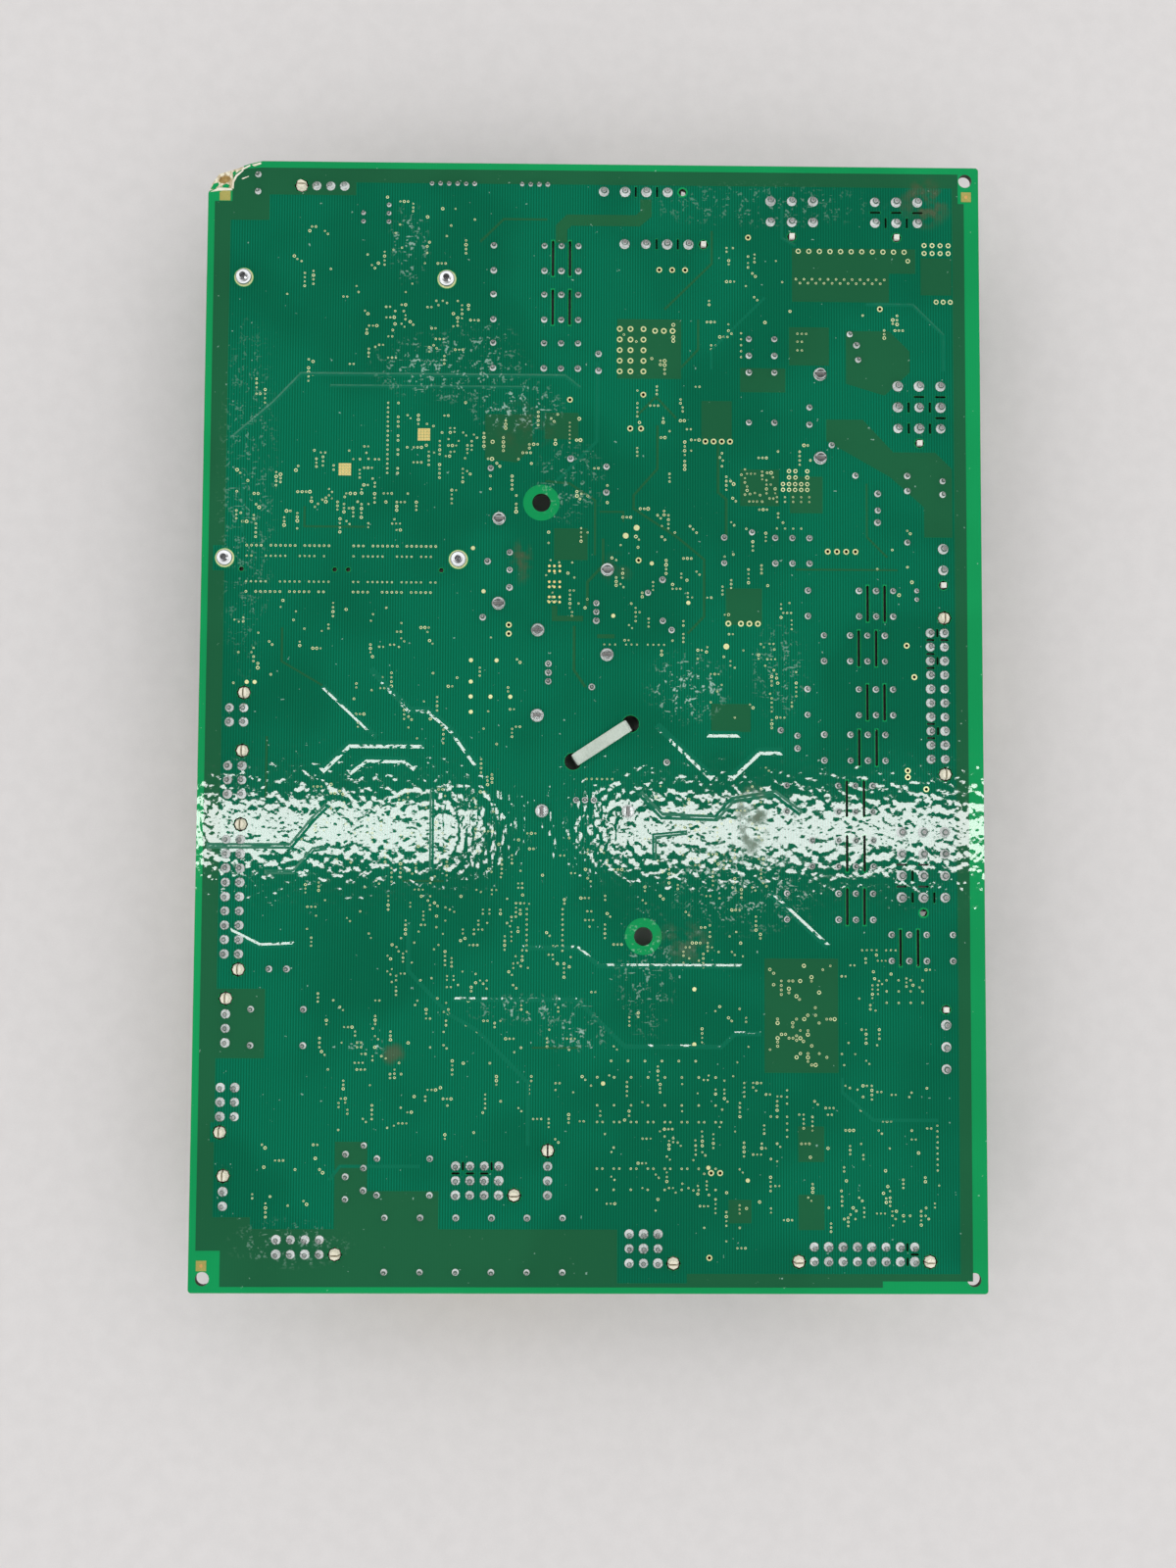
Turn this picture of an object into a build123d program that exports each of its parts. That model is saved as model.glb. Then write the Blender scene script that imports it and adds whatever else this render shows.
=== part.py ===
from build123d import *

import math
import os
from dataclasses import dataclass

# A turbine control board that lies on its component side, with its solder side up.
# Lengths are millimetres. A place on the board is (right, down), measured from the
# top left corner of the solder side. In the model +X is right, +Y points to the top
# edge, +Z is up, and the origin is below the middle of the board, on the surface
# that its heatsinks stand on. Lengths called drop are measured down from the board.

# Circuit board. The edges lie one margin outside the outermost header pins.
LEFT_MARGIN = 8.3
RIGHT_MARGIN = 11.26
TOP_MARGIN = 7.4
BOTTOM_MARGIN = 8.62
BOARD_THICKNESS = 1.6
CORNER_RADIUS = 1.0
CORNER_HOLE_RADIUS = 2.0
CORNER_HOLE_INSET = 4.0
CENTRE_HOLE_RADIUS = 2.7
CENTRE_HOLES = ((99.75, 102.4), (130.2, 229.8))

# The broken corner: the torn edge, the torn hole and the layer that is scaled off.
TORN_EDGE = ((0.0, 10.0), (1.0, 7.0), (3.0, 4.0), (8.0, 2.4), (12.0, 1.0), (16.0, 0.0))
TORN_HOLE_PLACE = (4.65, 5.5)
TORN_HOLE_RADII = (1.8, 1.25)
TORN_HOLE_TURN = 15.0
SCALED_PATCH = ((0.0, 9.4), (3.4, 8.0), (7.0, 8.6), (7.3, 4.4), (10.4, 2.2))
SCALED_DEPTH = 0.3
CUT_OVERRUN = 5.0

# Slots milled through the board between live pins.
RELAY_SLOT_WIDTH = 0.8
RELAY_SLOT_OVERRUN = 1.7
HEADER_SLOT_WIDTH = 0.6
POWER_SLOT_LENGTH = 3.4
SIGNAL_SLOT_LENGTH = 2.7

# Pin headers with moulded shrouds: a power size and a signal size.
POWER_PITCH = 6.35
POWER_HEIGHT = 22.5
POWER_WALL = 1.0
POWER_POCKET_DEPTH = 15.0
POWER_PIN_SIZE = 1.9
POWER_PIN_RISE = 9.5
POWER_PEG_SIZE = 1.5
OPEN_PEG_HOLE_RADIUS = 1.05
SIGNAL_PITCH = 4.14
SIGNAL_HEIGHT = 16.5
SIGNAL_WALL = 0.9
SIGNAL_POCKET_DEPTH = 11.0
SIGNAL_PIN_SIZE = 1.0
SIGNAL_PIN_RISE = 6.0
SIGNAL_PEG_RADIUS = 1.75
SIGNAL_PEG_SPLIT = 0.5
PEG_STEP = 4.45
PEG_CLEARANCE = 0.25
PEG_RISE = 1.4
PEG_TAPER = 20.0
EAR_WIDTH = 4.6
EAR_THICKNESS = 2.5
LATCH_WIDTH = 3.2
LATCH_DEPTH = 1.3
LATCH_HEIGHT = 8.0

# Relays: a long size with 5 mm contacts and a short size.
RELAY_ROW_STEP = 7.6
LONG_RELAY_CONTACTS = (15.1, 20.15, 25.2)
LONG_RELAY_SIZE = (29.0, 12.7, 15.7)
SHORT_RELAY_CONTACTS = (7.7, 12.8, 17.95)
SHORT_RELAY_SIZE = (20.4, 10.2, 10.8)
RELAY_CHAMFER = 0.5

# Extruded heatsinks, which are the tallest parts and carry the board.
HEATSINK_HEIGHT = 25.4
HEATSINK_WIDTH = 32.0
HEATSINK_DEPTH = 11.2
HEATSINK_WEB = 1.6
HEATSINK_END = 1.4
FIN_THICKNESS = 1.0
FIN_STEP = 3.1
FIN_COUNT = 2
HEATSINK_PIN_STEP = 25.2
LEAD_OFFSET = 3.2

# Power transistors on the heatsinks.
TRANSISTOR_WIDTH = 10.2
TRANSISTOR_THICKNESS = 4.5
TRANSISTOR_LENGTH = 15.4
TAB_THICKNESS = 1.3
TAB_LENGTH = 6.2
TRANSISTOR_DROP = 5.0
LEAD_PITCH = 2.6
LEAD_WIDTH = 0.8
LEAD_THICKNESS = 0.6
BOLT_RADIUS = 2.9
BOLT_HEAD = 1.8
NUT_HEIGHT = 1.6

# Filter parts along the lower edge.
FILM_SIZE = (8.6, 18.0, 14.5)
FILM_STEP = 10.24
FILM_COUNT = 6
FILM_FIRST = (56.0, 318.3)
FILM_LEAD_STEP = 15.4
FILM_CHAMFER = 0.6
CHOKE_BASE = (19.0, 14.0, 2.0)
CHOKE_PIN_STEPS = (15.2, 10.4)
CHOKE_CORE = (16.6, 5.0, 13.0)
CHOKE_WINDOW = (8.0, 6.0)
CHOKE_COIL_RADIUS = 3.5
CHOKE_COIL_HEIGHT = 7.0
VARISTOR_RADIUS = 4.0
VARISTOR_THICKNESS = 4.0
VARISTOR_STEP = 6.4
VARISTOR_COUNT = 3
VARISTOR_FIRST = (47.2, 291.35)
VARISTOR_LEADS = ((-2.6, 1.25), (2.6, -1.25))
VARISTOR_DROP = 1.2

# Ring choke, and the cable tie that straps it to the board.
RING_CENTRE = (126.0, 167.9)
RING_OUTER_RADIUS = 13.3
RING_INNER_RADIUS = 7.4
RING_HEIGHT = 10.6
RING_SIDES = 20
WIRE_SIZE = 1.2
WIRE_CLEARANCE = 0.1
TURN_COUNT = 11
FIRST_LEAD_ANGLE = -45.5
LAST_LEAD_ANGLE = 135.5
LEAD_RADIUS = 15.6
TIE_HOLES = ((126.3, 167.8), (109.5, 178.9))
TIE_HOLE_RADIUS = 2.5
TIE_WIDTH = 3.3
TIE_THICKNESS = 1.1
TIE_CLEARANCE = 0.1
TIE_CORNER = 0.7
TIE_HEAD = (4.2, 5.4, 4.6)

# Plug-in processor module on four spacers and two connectors.
MODULE_RIGHT = 79.4
MODULE_TOP = 31.4
MODULE_SIZE = (76.6, 95.6, 1.6)
MODULE_CORNER = 1.0
MODULE_GAP = 5.0
UPPER_SCREW_INSET = (8.2, 4.0)
LOWER_SCREW_INSET = (4.0, 7.5)
CONNECTOR_GAP = 1.7
CONNECTOR_INSET = 4.25
CONNECTOR_WIDTH = 5.6
CONNECTOR_CLEARANCE = 0.95
CONNECTOR_PEG_INSET = 1.125
CONNECTOR_PEG_HOLE_RADIUS = 0.65
SPACER_RADIUS = 2.9
SPACER_BORE_RADIUS = 1.5
SCREW_SHANK_RADIUS = 1.4
SCREW_REACH = 2.2
SCREW_HEAD_RADIUS = 2.6
SCREW_HEAD_HEIGHT = 1.8
SCREW_HOLE_RADIUS = 1.6

# Solder joints on the solder side.
POWER_JOINT_RADIUS = 1.6
POWER_JOINT_HEIGHT = 1.5
SIGNAL_JOINT_RADIUS = 1.35
SIGNAL_JOINT_HEIGHT = 1.4
RELAY_JOINT_RADIUS = 1.0
RELAY_JOINT_HEIGHT = 1.5
JOINT_TAPER = 24.0

# Plain pin strips, and pins that stand alone.
STRIP_PITCH = 2.54
STRIP_HEIGHT = 2.5
STRIP_PIN_SIZE = 0.64
STRIP_PIN_LENGTH = 8.5

HOLE_SIDES = 16
CAN_SIDES = 12
PEG_SIDES = 8
SCREW_SIDES = 8
HEX_SIDES = 6
PIN_SIDES = 6
JOINT_SIDES = 5
SMALL_JOINT_SIDES = 4
BOTTOM_DIRECTION = (Align.CENTER, Align.CENTER, Align.MAX)
TOP_DIRECTION = (Align.CENTER, Align.CENTER, Align.MIN)


@dataclass(frozen=True)
class HeaderStyle:
    """Sizes that all headers of one kind share."""

    pitch: float
    height: float
    wall: float
    pocket_depth: float
    pin_rise: float
    slot_length: float


POWER = HeaderStyle(
    POWER_PITCH, POWER_HEIGHT, POWER_WALL, POWER_POCKET_DEPTH, POWER_PIN_RISE, POWER_SLOT_LENGTH
)
SIGNAL = HeaderStyle(
    SIGNAL_PITCH, SIGNAL_HEIGHT, SIGNAL_WALL, SIGNAL_POCKET_DEPTH, SIGNAL_PIN_RISE, SIGNAL_SLOT_LENGTH
)


@dataclass(frozen=True)
class Peg:
    """A locating peg one step beyond a pin, in the direction (right, down)."""

    column: int
    row: int
    right: int
    down: int
    fitted: bool = True


@dataclass(frozen=True)
class Header:
    """One header: its first pin, its grid of pins, its pegs and its slots."""

    name: str
    style: HeaderStyle
    right: float
    down: float
    columns: int
    rows: int
    pegs: tuple
    latch: tuple
    upright_slots: tuple = ()
    level_slots: tuple = ()

    def pin(self, column, row):
        """Return the place of a pin; halves give places between pins."""
        return self.right + column * self.style.pitch, self.down + row * self.style.pitch

    def pins(self):
        return [self.pin(column, row) for column in range(self.columns) for row in range(self.rows)]

    def centre(self):
        return self.pin((self.columns - 1) / 2, (self.rows - 1) / 2)

    def block(self):
        """Return the width and length of the shroud."""
        rim = 2 * self.style.wall
        return self.columns * self.style.pitch + rim, self.rows * self.style.pitch + rim

    def peg_place(self, peg):
        right, down = self.pin(peg.column, peg.row)
        return right + peg.right * PEG_STEP, down + peg.down * PEG_STEP


HEADERS = (
    Header("power_header_top_1", POWER, 117.8, 8.3, 4, 1, (Peg(3, 0, 1, 0, fitted=False),), (0, -1),
           upright_slots=((1, 0), (2, 0))),
    Header("power_header_top_2", POWER, 124.05, 24.2, 4, 1, (Peg(3, 0, 1, 0),), (0, 1),
           upright_slots=((1, 0), (2, 0))),
    Header("power_header_top_3", POWER, 167.65, 10.7, 3, 2, (Peg(1, 1, 0, 1),), (0, -1)),
    Header("power_header_top_4", POWER, 198.95, 10.7, 3, 2, (Peg(1, 1, 0, 1),), (0, -1),
           upright_slots=((0, 1), (1, 1)), level_slots=((0, 0), (1, 0), (2, 0))),
    Header("power_header_right_1", POWER, 205.45, 66.6, 3, 3, (Peg(1, 2, 0, 1),), (1, 0),
           upright_slots=((0, 1), (1, 1), (0, 2), (1, 2)), level_slots=((1, 0), (2, 0), (2, 1))),
    Header("power_header_right_2", POWER, 218.6, 115.4, 1, 2, (Peg(0, 1, 0, 1),), (1, 0)),
    Header("power_header_right_3", POWER, 205.7, 199.1, 3, 4, (Peg(1, 3, 0, 1, fitted=False),), (1, 0),
           upright_slots=((0, 2), (0, 3), (1, 3)), level_slots=((0, 1), (1, 1), (0, 2), (1, 2))),
    Header("power_header_right_4", POWER, 218.4, 255.1, 1, 3, (Peg(0, 0, 0, -1),), (1, 0)),
    Header("signal_header_top", SIGNAL, 32.2, 7.4, 3, 1, (Peg(0, 0, -1, 0),), (0, -1)),
    Header("signal_header_left_1", SIGNAL, 9.0, 163.7, 2, 2, (Peg(1, 0, 0, -1),), (-1, 0)),
    Header("signal_header_left_2", SIGNAL, 8.8, 180.7, 2, 3, (Peg(1, 0, 0, -1),), (-1, 0)),
    Header("signal_header_left_3", SIGNAL, 8.7, 202.2, 2, 9, (Peg(1, 0, 0, -1), Peg(1, 8, 0, 1)), (-1, 0)),
    Header("signal_header_left_4", SIGNAL, 9.4, 252.6, 1, 3, (Peg(0, 0, 0, -1),), (-1, 0)),
    Header("signal_header_left_5", SIGNAL, 8.3, 273.7, 2, 3, (Peg(0, 2, 0, 1),), (-1, 0)),
    Header("signal_header_left_6", SIGNAL, 9.5, 303.3, 1, 2, (Peg(0, 0, 0, -1),), (-1, 0)),
    Header("signal_header_bottom_1", SIGNAL, 25.0, 316.9, 4, 2, (Peg(3, 1, 1, 0),), (0, 1)),
    Header("signal_header_bottom_2", SIGNAL, 76.3, 295.9, 4, 3, (Peg(3, 2, 1, 0),), (0, -1),
           upright_slots=((0, 0), (2, 0)), level_slots=((0, 0), (1, 0), (2, 0))),
    Header("signal_header_bottom_3", SIGNAL, 102.8, 295.9, 1, 3, (Peg(0, 0, 0, -1),), (1, 0)),
    Header("signal_header_bottom_4", SIGNAL, 126.4, 315.1, 3, 3, (Peg(2, 2, 1, 0),), (0, 1)),
    Header("signal_header_bottom_5", SIGNAL, 179.8, 318.7, 8, 2, (Peg(0, 1, -1, 0), Peg(7, 1, 1, 0)), (0, 1),
           upright_slots=((6, 0), (6, 1)), level_slots=((7, 0),)),
    Header("signal_header_right", SIGNAL, 214.6, 140.4, 2, 10, (Peg(1, 0, 0, -1), Peg(1, 9, 0, 1)), (1, 0),
           upright_slots=((0, 0), (0, 2), (0, 7)),
           level_slots=((0, 0), (1, 0), (0, 1), (0, 2), (0, 6), (0, 7))),
)


@dataclass(frozen=True)
class RelayStyle:
    """Pin distances and body size (length, width, height) of one relay size."""

    contacts: tuple
    size: tuple


LONG = RelayStyle(LONG_RELAY_CONTACTS, LONG_RELAY_SIZE)
SHORT = RelayStyle(SHORT_RELAY_CONTACTS, SHORT_RELAY_SIZE)


@dataclass(frozen=True)
class Relay:
    """A relay: its first coil pin and the direction in which its contacts follow."""

    name: str
    style: RelayStyle
    right: float
    down: float
    heading: tuple = (1, 0)
    slotted: bool = True

    def place(self, along, across):
        """Return the place that lies along the heading and across it."""
        side = (abs(self.heading[1]), abs(self.heading[0]))
        right = self.right + self.heading[0] * along + side[0] * across
        down = self.down + self.heading[1] * along + side[1] * across
        return right, down

    def pins(self):
        distances = (0.0,) + self.style.contacts
        return [self.place(along, across) for along in distances for across in (0.0, RELAY_ROW_STEP)]

    def centre(self):
        return self.place(self.style.contacts[-1] / 2, RELAY_ROW_STEP / 2)

    def slot_places(self):
        """Return the centres of the slots between the contact columns."""
        first, second, third = self.style.contacts
        middles = ((first + second) / 2, (second + third) / 2) if self.slotted else ()
        return [self.place(along, RELAY_ROW_STEP / 2) for along in middles]


RELAYS = (
    Relay("relay_1", LONG, 85.1, 25.0),
    Relay("relay_2", LONG, 85.1, 39.8),
    Relay("relay_3", LONG, 85.1, 54.5, slotted=False),
    Relay("relay_4", LONG, 153.8, 112.4, slotted=False),
    Relay("relay_5", LONG, 161.1, 77.9, heading=(0, -1), slotted=False),
    Relay("relay_6", LONG, 178.5, 128.0),
    Relay("relay_7", LONG, 178.3, 157.2),
    Relay("relay_8", LONG, 172.1, 185.6),
    Relay("relay_9", LONG, 172.1, 217.1),
    Relay("small_relay_1", SHORT, 183.2, 141.3),
    Relay("small_relay_2", SHORT, 183.2, 170.6),
    Relay("small_relay_3", SHORT, 179.5, 201.6),
    Relay("small_relay_4", SHORT, 220.6, 229.0, heading=(-1, 0)),
)


@dataclass(frozen=True)
class Heatsink:
    """A heatsink: its centre, its web direction and the side of its transistor."""

    name: str
    right: float
    down: float
    turned: bool
    side: int
    legs: tuple = (-1, 0, 1)
    spread: int = 1
    shift: float = 0.0

    def place(self, along, off):
        """Return the place along the web and off it towards the transistor."""
        if self.turned:
            return self.right + along, self.down + self.side * off
        return self.right + self.side * off, self.down + along

    def pins(self):
        return [self.place(sign * HEATSINK_PIN_STEP / 2, 0.0) for sign in (-1, 1)]

    def leg_place(self, leg):
        """Return where a leg of the transistor meets the board."""
        return self.place(self.shift + leg * self.spread * LEAD_PITCH, LEAD_OFFSET)


HEATSINKS = (
    Heatsink("heatsink_1", 87.3, 119.8, False, 1, spread=2, shift=2.7),
    Heatsink("heatsink_2", 98.9, 152.8, False, 1),
    Heatsink("heatsink_3", 119.3, 134.8, False, -1),
    Heatsink("heatsink_4", 113.05, 193.4, True, -1),
    Heatsink("heatsink_5", 182.3, 75.8, False, -1, legs=(-1, 1)),
)

# Round capacitors: both leads, the radius and the height.
CANS = (
    ((116.4, 57.6), (116.4, 62.7), 4.0, 12.0),
    ((118.9, 91.5), (118.9, 99.2), 8.0, 20.0),
    ((21.7, 239.6), (26.8, 239.6), 5.0, 16.0),
    ((131.3, 129.0), (135.6, 125.1), 5.0, 16.0),
    ((135.7, 137.3), (138.3, 140.0), 4.0, 12.0),
    ((208.1, 93.6), (208.1, 98.1), 4.0, 12.0),
    ((199.3, 99.0), (199.3, 104.0), 4.0, 12.0),
    ((175.3, 171.0), (175.3, 174.7), 4.0, 12.0),
    ((218.6, 95.1), (218.6, 99.1), 3.15, 11.0),
    ((14.75, 4.1), (14.75, 9.25), 3.15, 11.0),
    ((193.2, 54.3), (193.7, 58.7), 3.15, 11.0),
)
CHOKES = ((61.25, 299.0), (24.25, 256.4))


@dataclass(frozen=True)
class Strip:
    """A plain strip of pins: its first pin, its count and the direction it runs in."""

    right: float
    down: float
    count: int = 1
    across: bool = True

    def pins(self):
        steps = [index * STRIP_PITCH for index in range(self.count)]
        if self.across:
            return [(self.right + step, self.down) for step in steps]
        return [(self.right, self.down + step) for step in steps]


STRIPS = (
    Strip(46.2, 15.5, 2, across=False),
    Strip(53.8, 13.0, 3, across=False),
    Strip(66.5, 6.3, 6),
    Strip(93.4, 6.3, 4),
    Strip(210.7, 127.9, 2, across=False),
    Strip(84.7, 92.2),
    Strip(108.3, 89.2),
    Strip(191.2, 51.0),
    Strip(192.7, 93.6),
    Strip(199.2, 107.6),
    Strip(208.0, 113.5),
    Strip(170.4, 169.4),
)

# Joints of wires that lie flat on the component side.
LONE_JOINTS = ((84.0, 120.0), (82.7, 136.6), (162.0, 110.8), (185.7, 84.5))

# Surface-mounted packages: the centre and (width, length, height).
CHIPS = (
    ((159.4, 132.3), (10.3, 7.5, 2.5)),
    ((155.8, 166.0), (10.3, 7.5, 2.5)),
    ((179.1, 289.3), (7.5, 10.3, 2.5)),
    ((179.1, 308.8), (7.5, 10.3, 2.5)),
    ((158.5, 308.8), (6.0, 6.5, 2.0)),
    ((151.9, 77.2), (8.0, 10.0, 2.5)),
    ((163.8, 97.5), (10.3, 7.5, 2.5)),
    ((108.4, 114.0), (6.6, 6.6, 2.0)),
    ((103.7, 122.0), (5.0, 3.9, 1.6)),
    ((103.7, 126.7), (5.0, 3.9, 1.6)),
    ((103.7, 131.4), (5.0, 3.9, 1.6)),
    ((77.0, 230.0), (24.0, 24.0, 1.8)),
    ((50.6, 265.5), (11.6, 10.2, 1.2)),
    ((79.0, 268.0), (10.2, 18.4, 1.2)),
    ((197.3, 256.8), (5.0, 3.9, 1.6)),
    ((197.3, 265.4), (5.0, 3.9, 1.6)),
)
COUPLER_FIRST = (122.3, 290.0)
COUPLER_SIZE = (4.2, 6.8, 2.2)
COUPLER_STEP = 4.92
COUPLER_COUNT = 6

# Packages on the far side of the processor module.
MODULE_CHIPS = (
    ((41.1, 66.0), (27.0, 27.0, 2.2)),
    ((41.1, 96.0), (12.5, 10.5, 1.2)),
    ((20.0, 92.0), (12.5, 10.5, 1.2)),
    ((66.0, 66.0), (12.0, 18.4, 1.2)),
    ((18.0, 56.0), (7.0, 7.0, 3.0)),
)

HEADER_PINS = [pin for header in HEADERS for pin in header.pins()]
LEFT_EDGE = min(right for right, down in HEADER_PINS) - LEFT_MARGIN
RIGHT_EDGE = max(right for right, down in HEADER_PINS) + RIGHT_MARGIN
TOP_EDGE = min(down for right, down in HEADER_PINS) - TOP_MARGIN
BOTTOM_EDGE = max(down for right, down in HEADER_PINS) + BOTTOM_MARGIN
MIDDLE = ((LEFT_EDGE + RIGHT_EDGE) / 2, (TOP_EDGE + BOTTOM_EDGE) / 2)
UNDERSIDE = HEATSINK_HEIGHT
TOPSIDE = UNDERSIDE + BOARD_THICKNESS
RING_TOP = UNDERSIDE - WIRE_SIZE
RING_BOTTOM = RING_TOP - RING_HEIGHT
MODULE_FACE = UNDERSIDE - MODULE_GAP
MODULE_BACK = MODULE_FACE - MODULE_SIZE[2]
MODULE_LEFT = MODULE_RIGHT - MODULE_SIZE[0]
MODULE_BOTTOM = MODULE_TOP + MODULE_SIZE[1]
MODULE_CENTRE = ((MODULE_LEFT + MODULE_RIGHT) / 2, (MODULE_TOP + MODULE_BOTTOM) / 2)
MODULE_SCREWS = (
    (MODULE_LEFT + UPPER_SCREW_INSET[0], MODULE_TOP + UPPER_SCREW_INSET[1]),
    (MODULE_RIGHT - UPPER_SCREW_INSET[0], MODULE_TOP + UPPER_SCREW_INSET[1]),
    (MODULE_LEFT + LOWER_SCREW_INSET[0], MODULE_BOTTOM - LOWER_SCREW_INSET[1]),
    (MODULE_RIGHT - LOWER_SCREW_INSET[0], MODULE_BOTTOM - LOWER_SCREW_INSET[1]),
)
CONNECTOR_START = LOWER_SCREW_INSET[0] + SPACER_RADIUS + CONNECTOR_CLEARANCE
CONNECTOR_LENGTH = (MODULE_SIZE[0] - 2 * CONNECTOR_START - CONNECTOR_GAP) / 2
CONNECTOR_STEP = CONNECTOR_LENGTH + CONNECTOR_GAP
MODULE_CONNECTORS = tuple(
    (MODULE_CENTRE[0] + side * CONNECTOR_STEP / 2, MODULE_BOTTOM - CONNECTOR_INSET) for side in (-1, 1)
)


def spot(place, height=0.0):
    """Return the model position of a place on the board at a height."""
    return Pos(place[0] - MIDDLE[0], MIDDLE[1] - place[1], height)


def below(place, size):
    """Return a block that hangs from the underside of the board."""
    return spot(place, UNDERSIDE) * Box(*size, align=BOTTOM_DIRECTION)


def far_edges(solid):
    """Return the edges of the face that is farthest below the board."""
    return solid.edges().group_by(Axis.Z)[0]


def prism(radius, sides, height, taper=0.0):
    """Return an upright prism whose flat sides stand in for a small round form."""
    return extrude(RegularPolygon(radius, sides), amount=height, taper=taper)


def slot(place, width, height):
    """Return a cutter for a slot through the board, with ends that narrow to its middle line."""
    reach = max(width, height) / 2
    half = min(width, height) / 2
    shoulder = reach - half
    points = [(reach, 0), (shoulder, half), (-shoulder, half)]
    points += [(-right, -down) for right, down in points]
    turn = 0 if width > height else 90
    cutter = extrude(make_face(Polyline(*points, close=True)), amount=BOARD_THICKNESS)
    return spot(place, UNDERSIDE) * Rot(0, 0, turn) * cutter


def round_hole(place, radius):
    """Return a cutter for a round hole through the board."""
    return spot(place, UNDERSIDE) * Cylinder(radius, BOARD_THICKNESS, align=TOP_DIRECTION)


def faceted_hole(place, radius, sides):
    """Return a cutter for a lesser hole through the board, whose flats clear a radius."""
    outline = RegularPolygon(radius, sides, major_radius=False)
    return spot(place, UNDERSIDE) * extrude(outline, amount=BOARD_THICKNESS)


def header_slots(header):
    """Return the cutters for the slots between the pins of a header."""
    width, length = HEADER_SLOT_WIDTH, header.style.slot_length
    cutters = [slot(header.pin(column + 0.5, row), width, length) for column, row in header.upright_slots]
    cutters += [slot(header.pin(column, row + 0.5), length, width) for column, row in header.level_slots]
    return cutters


def relay_slots(relay):
    """Return the cutters for the slots between the contacts of a relay."""
    length = RELAY_ROW_STEP + 2 * RELAY_SLOT_OVERRUN
    return [slot(place, RELAY_SLOT_WIDTH, length) for place in relay.slot_places()]


def connector_peg_places():
    """Return the places where the module connectors are pegged to the board."""
    half = CONNECTOR_LENGTH / 2 - CONNECTOR_PEG_INSET
    return [(right + sign * half, down) for right, down in MODULE_CONNECTORS for sign in (-1, 1)]


def corner_hole_places():
    """Return the three corner holes that are whole."""
    left = LEFT_EDGE + CORNER_HOLE_INSET
    right = RIGHT_EDGE - CORNER_HOLE_INSET
    top = TOP_EDGE + CORNER_HOLE_INSET
    bottom = BOTTOM_EDGE - CORNER_HOLE_INSET
    return [(right, top), (right, bottom), (left, bottom)]


def peg_holes():
    """Return the cutters for the holes that take the pegs of the headers."""
    cutters = []
    for header in HEADERS:
        peg_radius = SIGNAL_PEG_RADIUS if header.style is SIGNAL else POWER_PEG_SIZE / math.sqrt(2)
        for peg in header.pegs:
            radius = peg_radius + PEG_CLEARANCE if peg.fitted else OPEN_PEG_HOLE_RADIUS
            cutters.append(faceted_hole(header.peg_place(peg), radius, PEG_SIDES))
    return cutters


def torn_corner():
    """Return the cutters for the corner that broke away and its torn hole."""
    corner = (LEFT_EDGE, TOP_EDGE)
    outer = (-CUT_OVERRUN, -CUT_OVERRUN)
    outside = ((TORN_EDGE[-1][0], -CUT_OVERRUN), outer, (-CUT_OVERRUN, TORN_EDGE[0][1]))
    turn_right = [(corner[0] + right, corner[1] + down) for right, down in TORN_EDGE + outside]
    points = [(right - MIDDLE[0], MIDDLE[1] - down) for right, down in turn_right]
    lost = Pos(0, 0, UNDERSIDE) * extrude(make_face(Polyline(*points, close=True)), amount=BOARD_THICKNESS)
    place = (corner[0] + TORN_HOLE_PLACE[0], corner[1] + TORN_HOLE_PLACE[1])
    ellipse = Rot(0, 0, TORN_HOLE_TURN) * Ellipse(*TORN_HOLE_RADII)
    hole = spot(place, UNDERSIDE) * extrude(ellipse, amount=BOARD_THICKNESS)
    rim = SCALED_PATCH + ((SCALED_PATCH[-1][0], -CUT_OVERRUN), outer, (-CUT_OVERRUN, SCALED_PATCH[0][1]))
    patch = [(corner[0] + right - MIDDLE[0], MIDDLE[1] - corner[1] - down) for right, down in rim]
    scaled = extrude(make_face(Polyline(*patch, close=True)), amount=SCALED_DEPTH)
    return [lost, hole, Pos(0, 0, TOPSIDE - SCALED_DEPTH) * scaled]


def circuit_board():
    """Return the laminate with its holes, slots and broken corner."""
    width = RIGHT_EDGE - LEFT_EDGE
    length = BOTTOM_EDGE - TOP_EDGE
    outline = RectangleRounded(width, length, CORNER_RADIUS)
    board = Pos(0, 0, UNDERSIDE) * extrude(outline, amount=BOARD_THICKNESS)
    cutters = [round_hole(place, CORNER_HOLE_RADIUS) for place in corner_hole_places()]
    cutters += [round_hole(place, CENTRE_HOLE_RADIUS) for place in CENTRE_HOLES]
    cutters += [faceted_hole(place, TIE_HOLE_RADIUS, HOLE_SIDES) for place in TIE_HOLES]
    cutters += [faceted_hole(place, SCREW_HOLE_RADIUS, SCREW_SIDES) for place in MODULE_SCREWS]
    peg_radius = CONNECTOR_PEG_HOLE_RADIUS
    cutters += [faceted_hole(place, peg_radius, PIN_SIDES) for place in connector_peg_places()]
    cutters += [cutter for header in HEADERS for cutter in header_slots(header)]
    cutters += [cutter for relay in RELAYS for cutter in relay_slots(relay)]
    cutters += peg_holes() + torn_corner()
    return board - cutters


def signal_peg(upright):
    """Return a split locking peg that passes through the board."""
    reach = BOARD_THICKNESS
    shank = prism(SIGNAL_PEG_RADIUS, PEG_SIDES, reach)
    tip = Pos(0, 0, reach) * prism(SIGNAL_PEG_RADIUS, PEG_SIDES, PEG_RISE, taper=PEG_TAPER)
    length = 3 * SIGNAL_PEG_RADIUS
    split_size = (SIGNAL_PEG_SPLIT, length) if upright else (length, SIGNAL_PEG_SPLIT)
    split = Box(*split_size, reach + PEG_RISE, align=TOP_DIRECTION)
    return shank + tip - split


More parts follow.
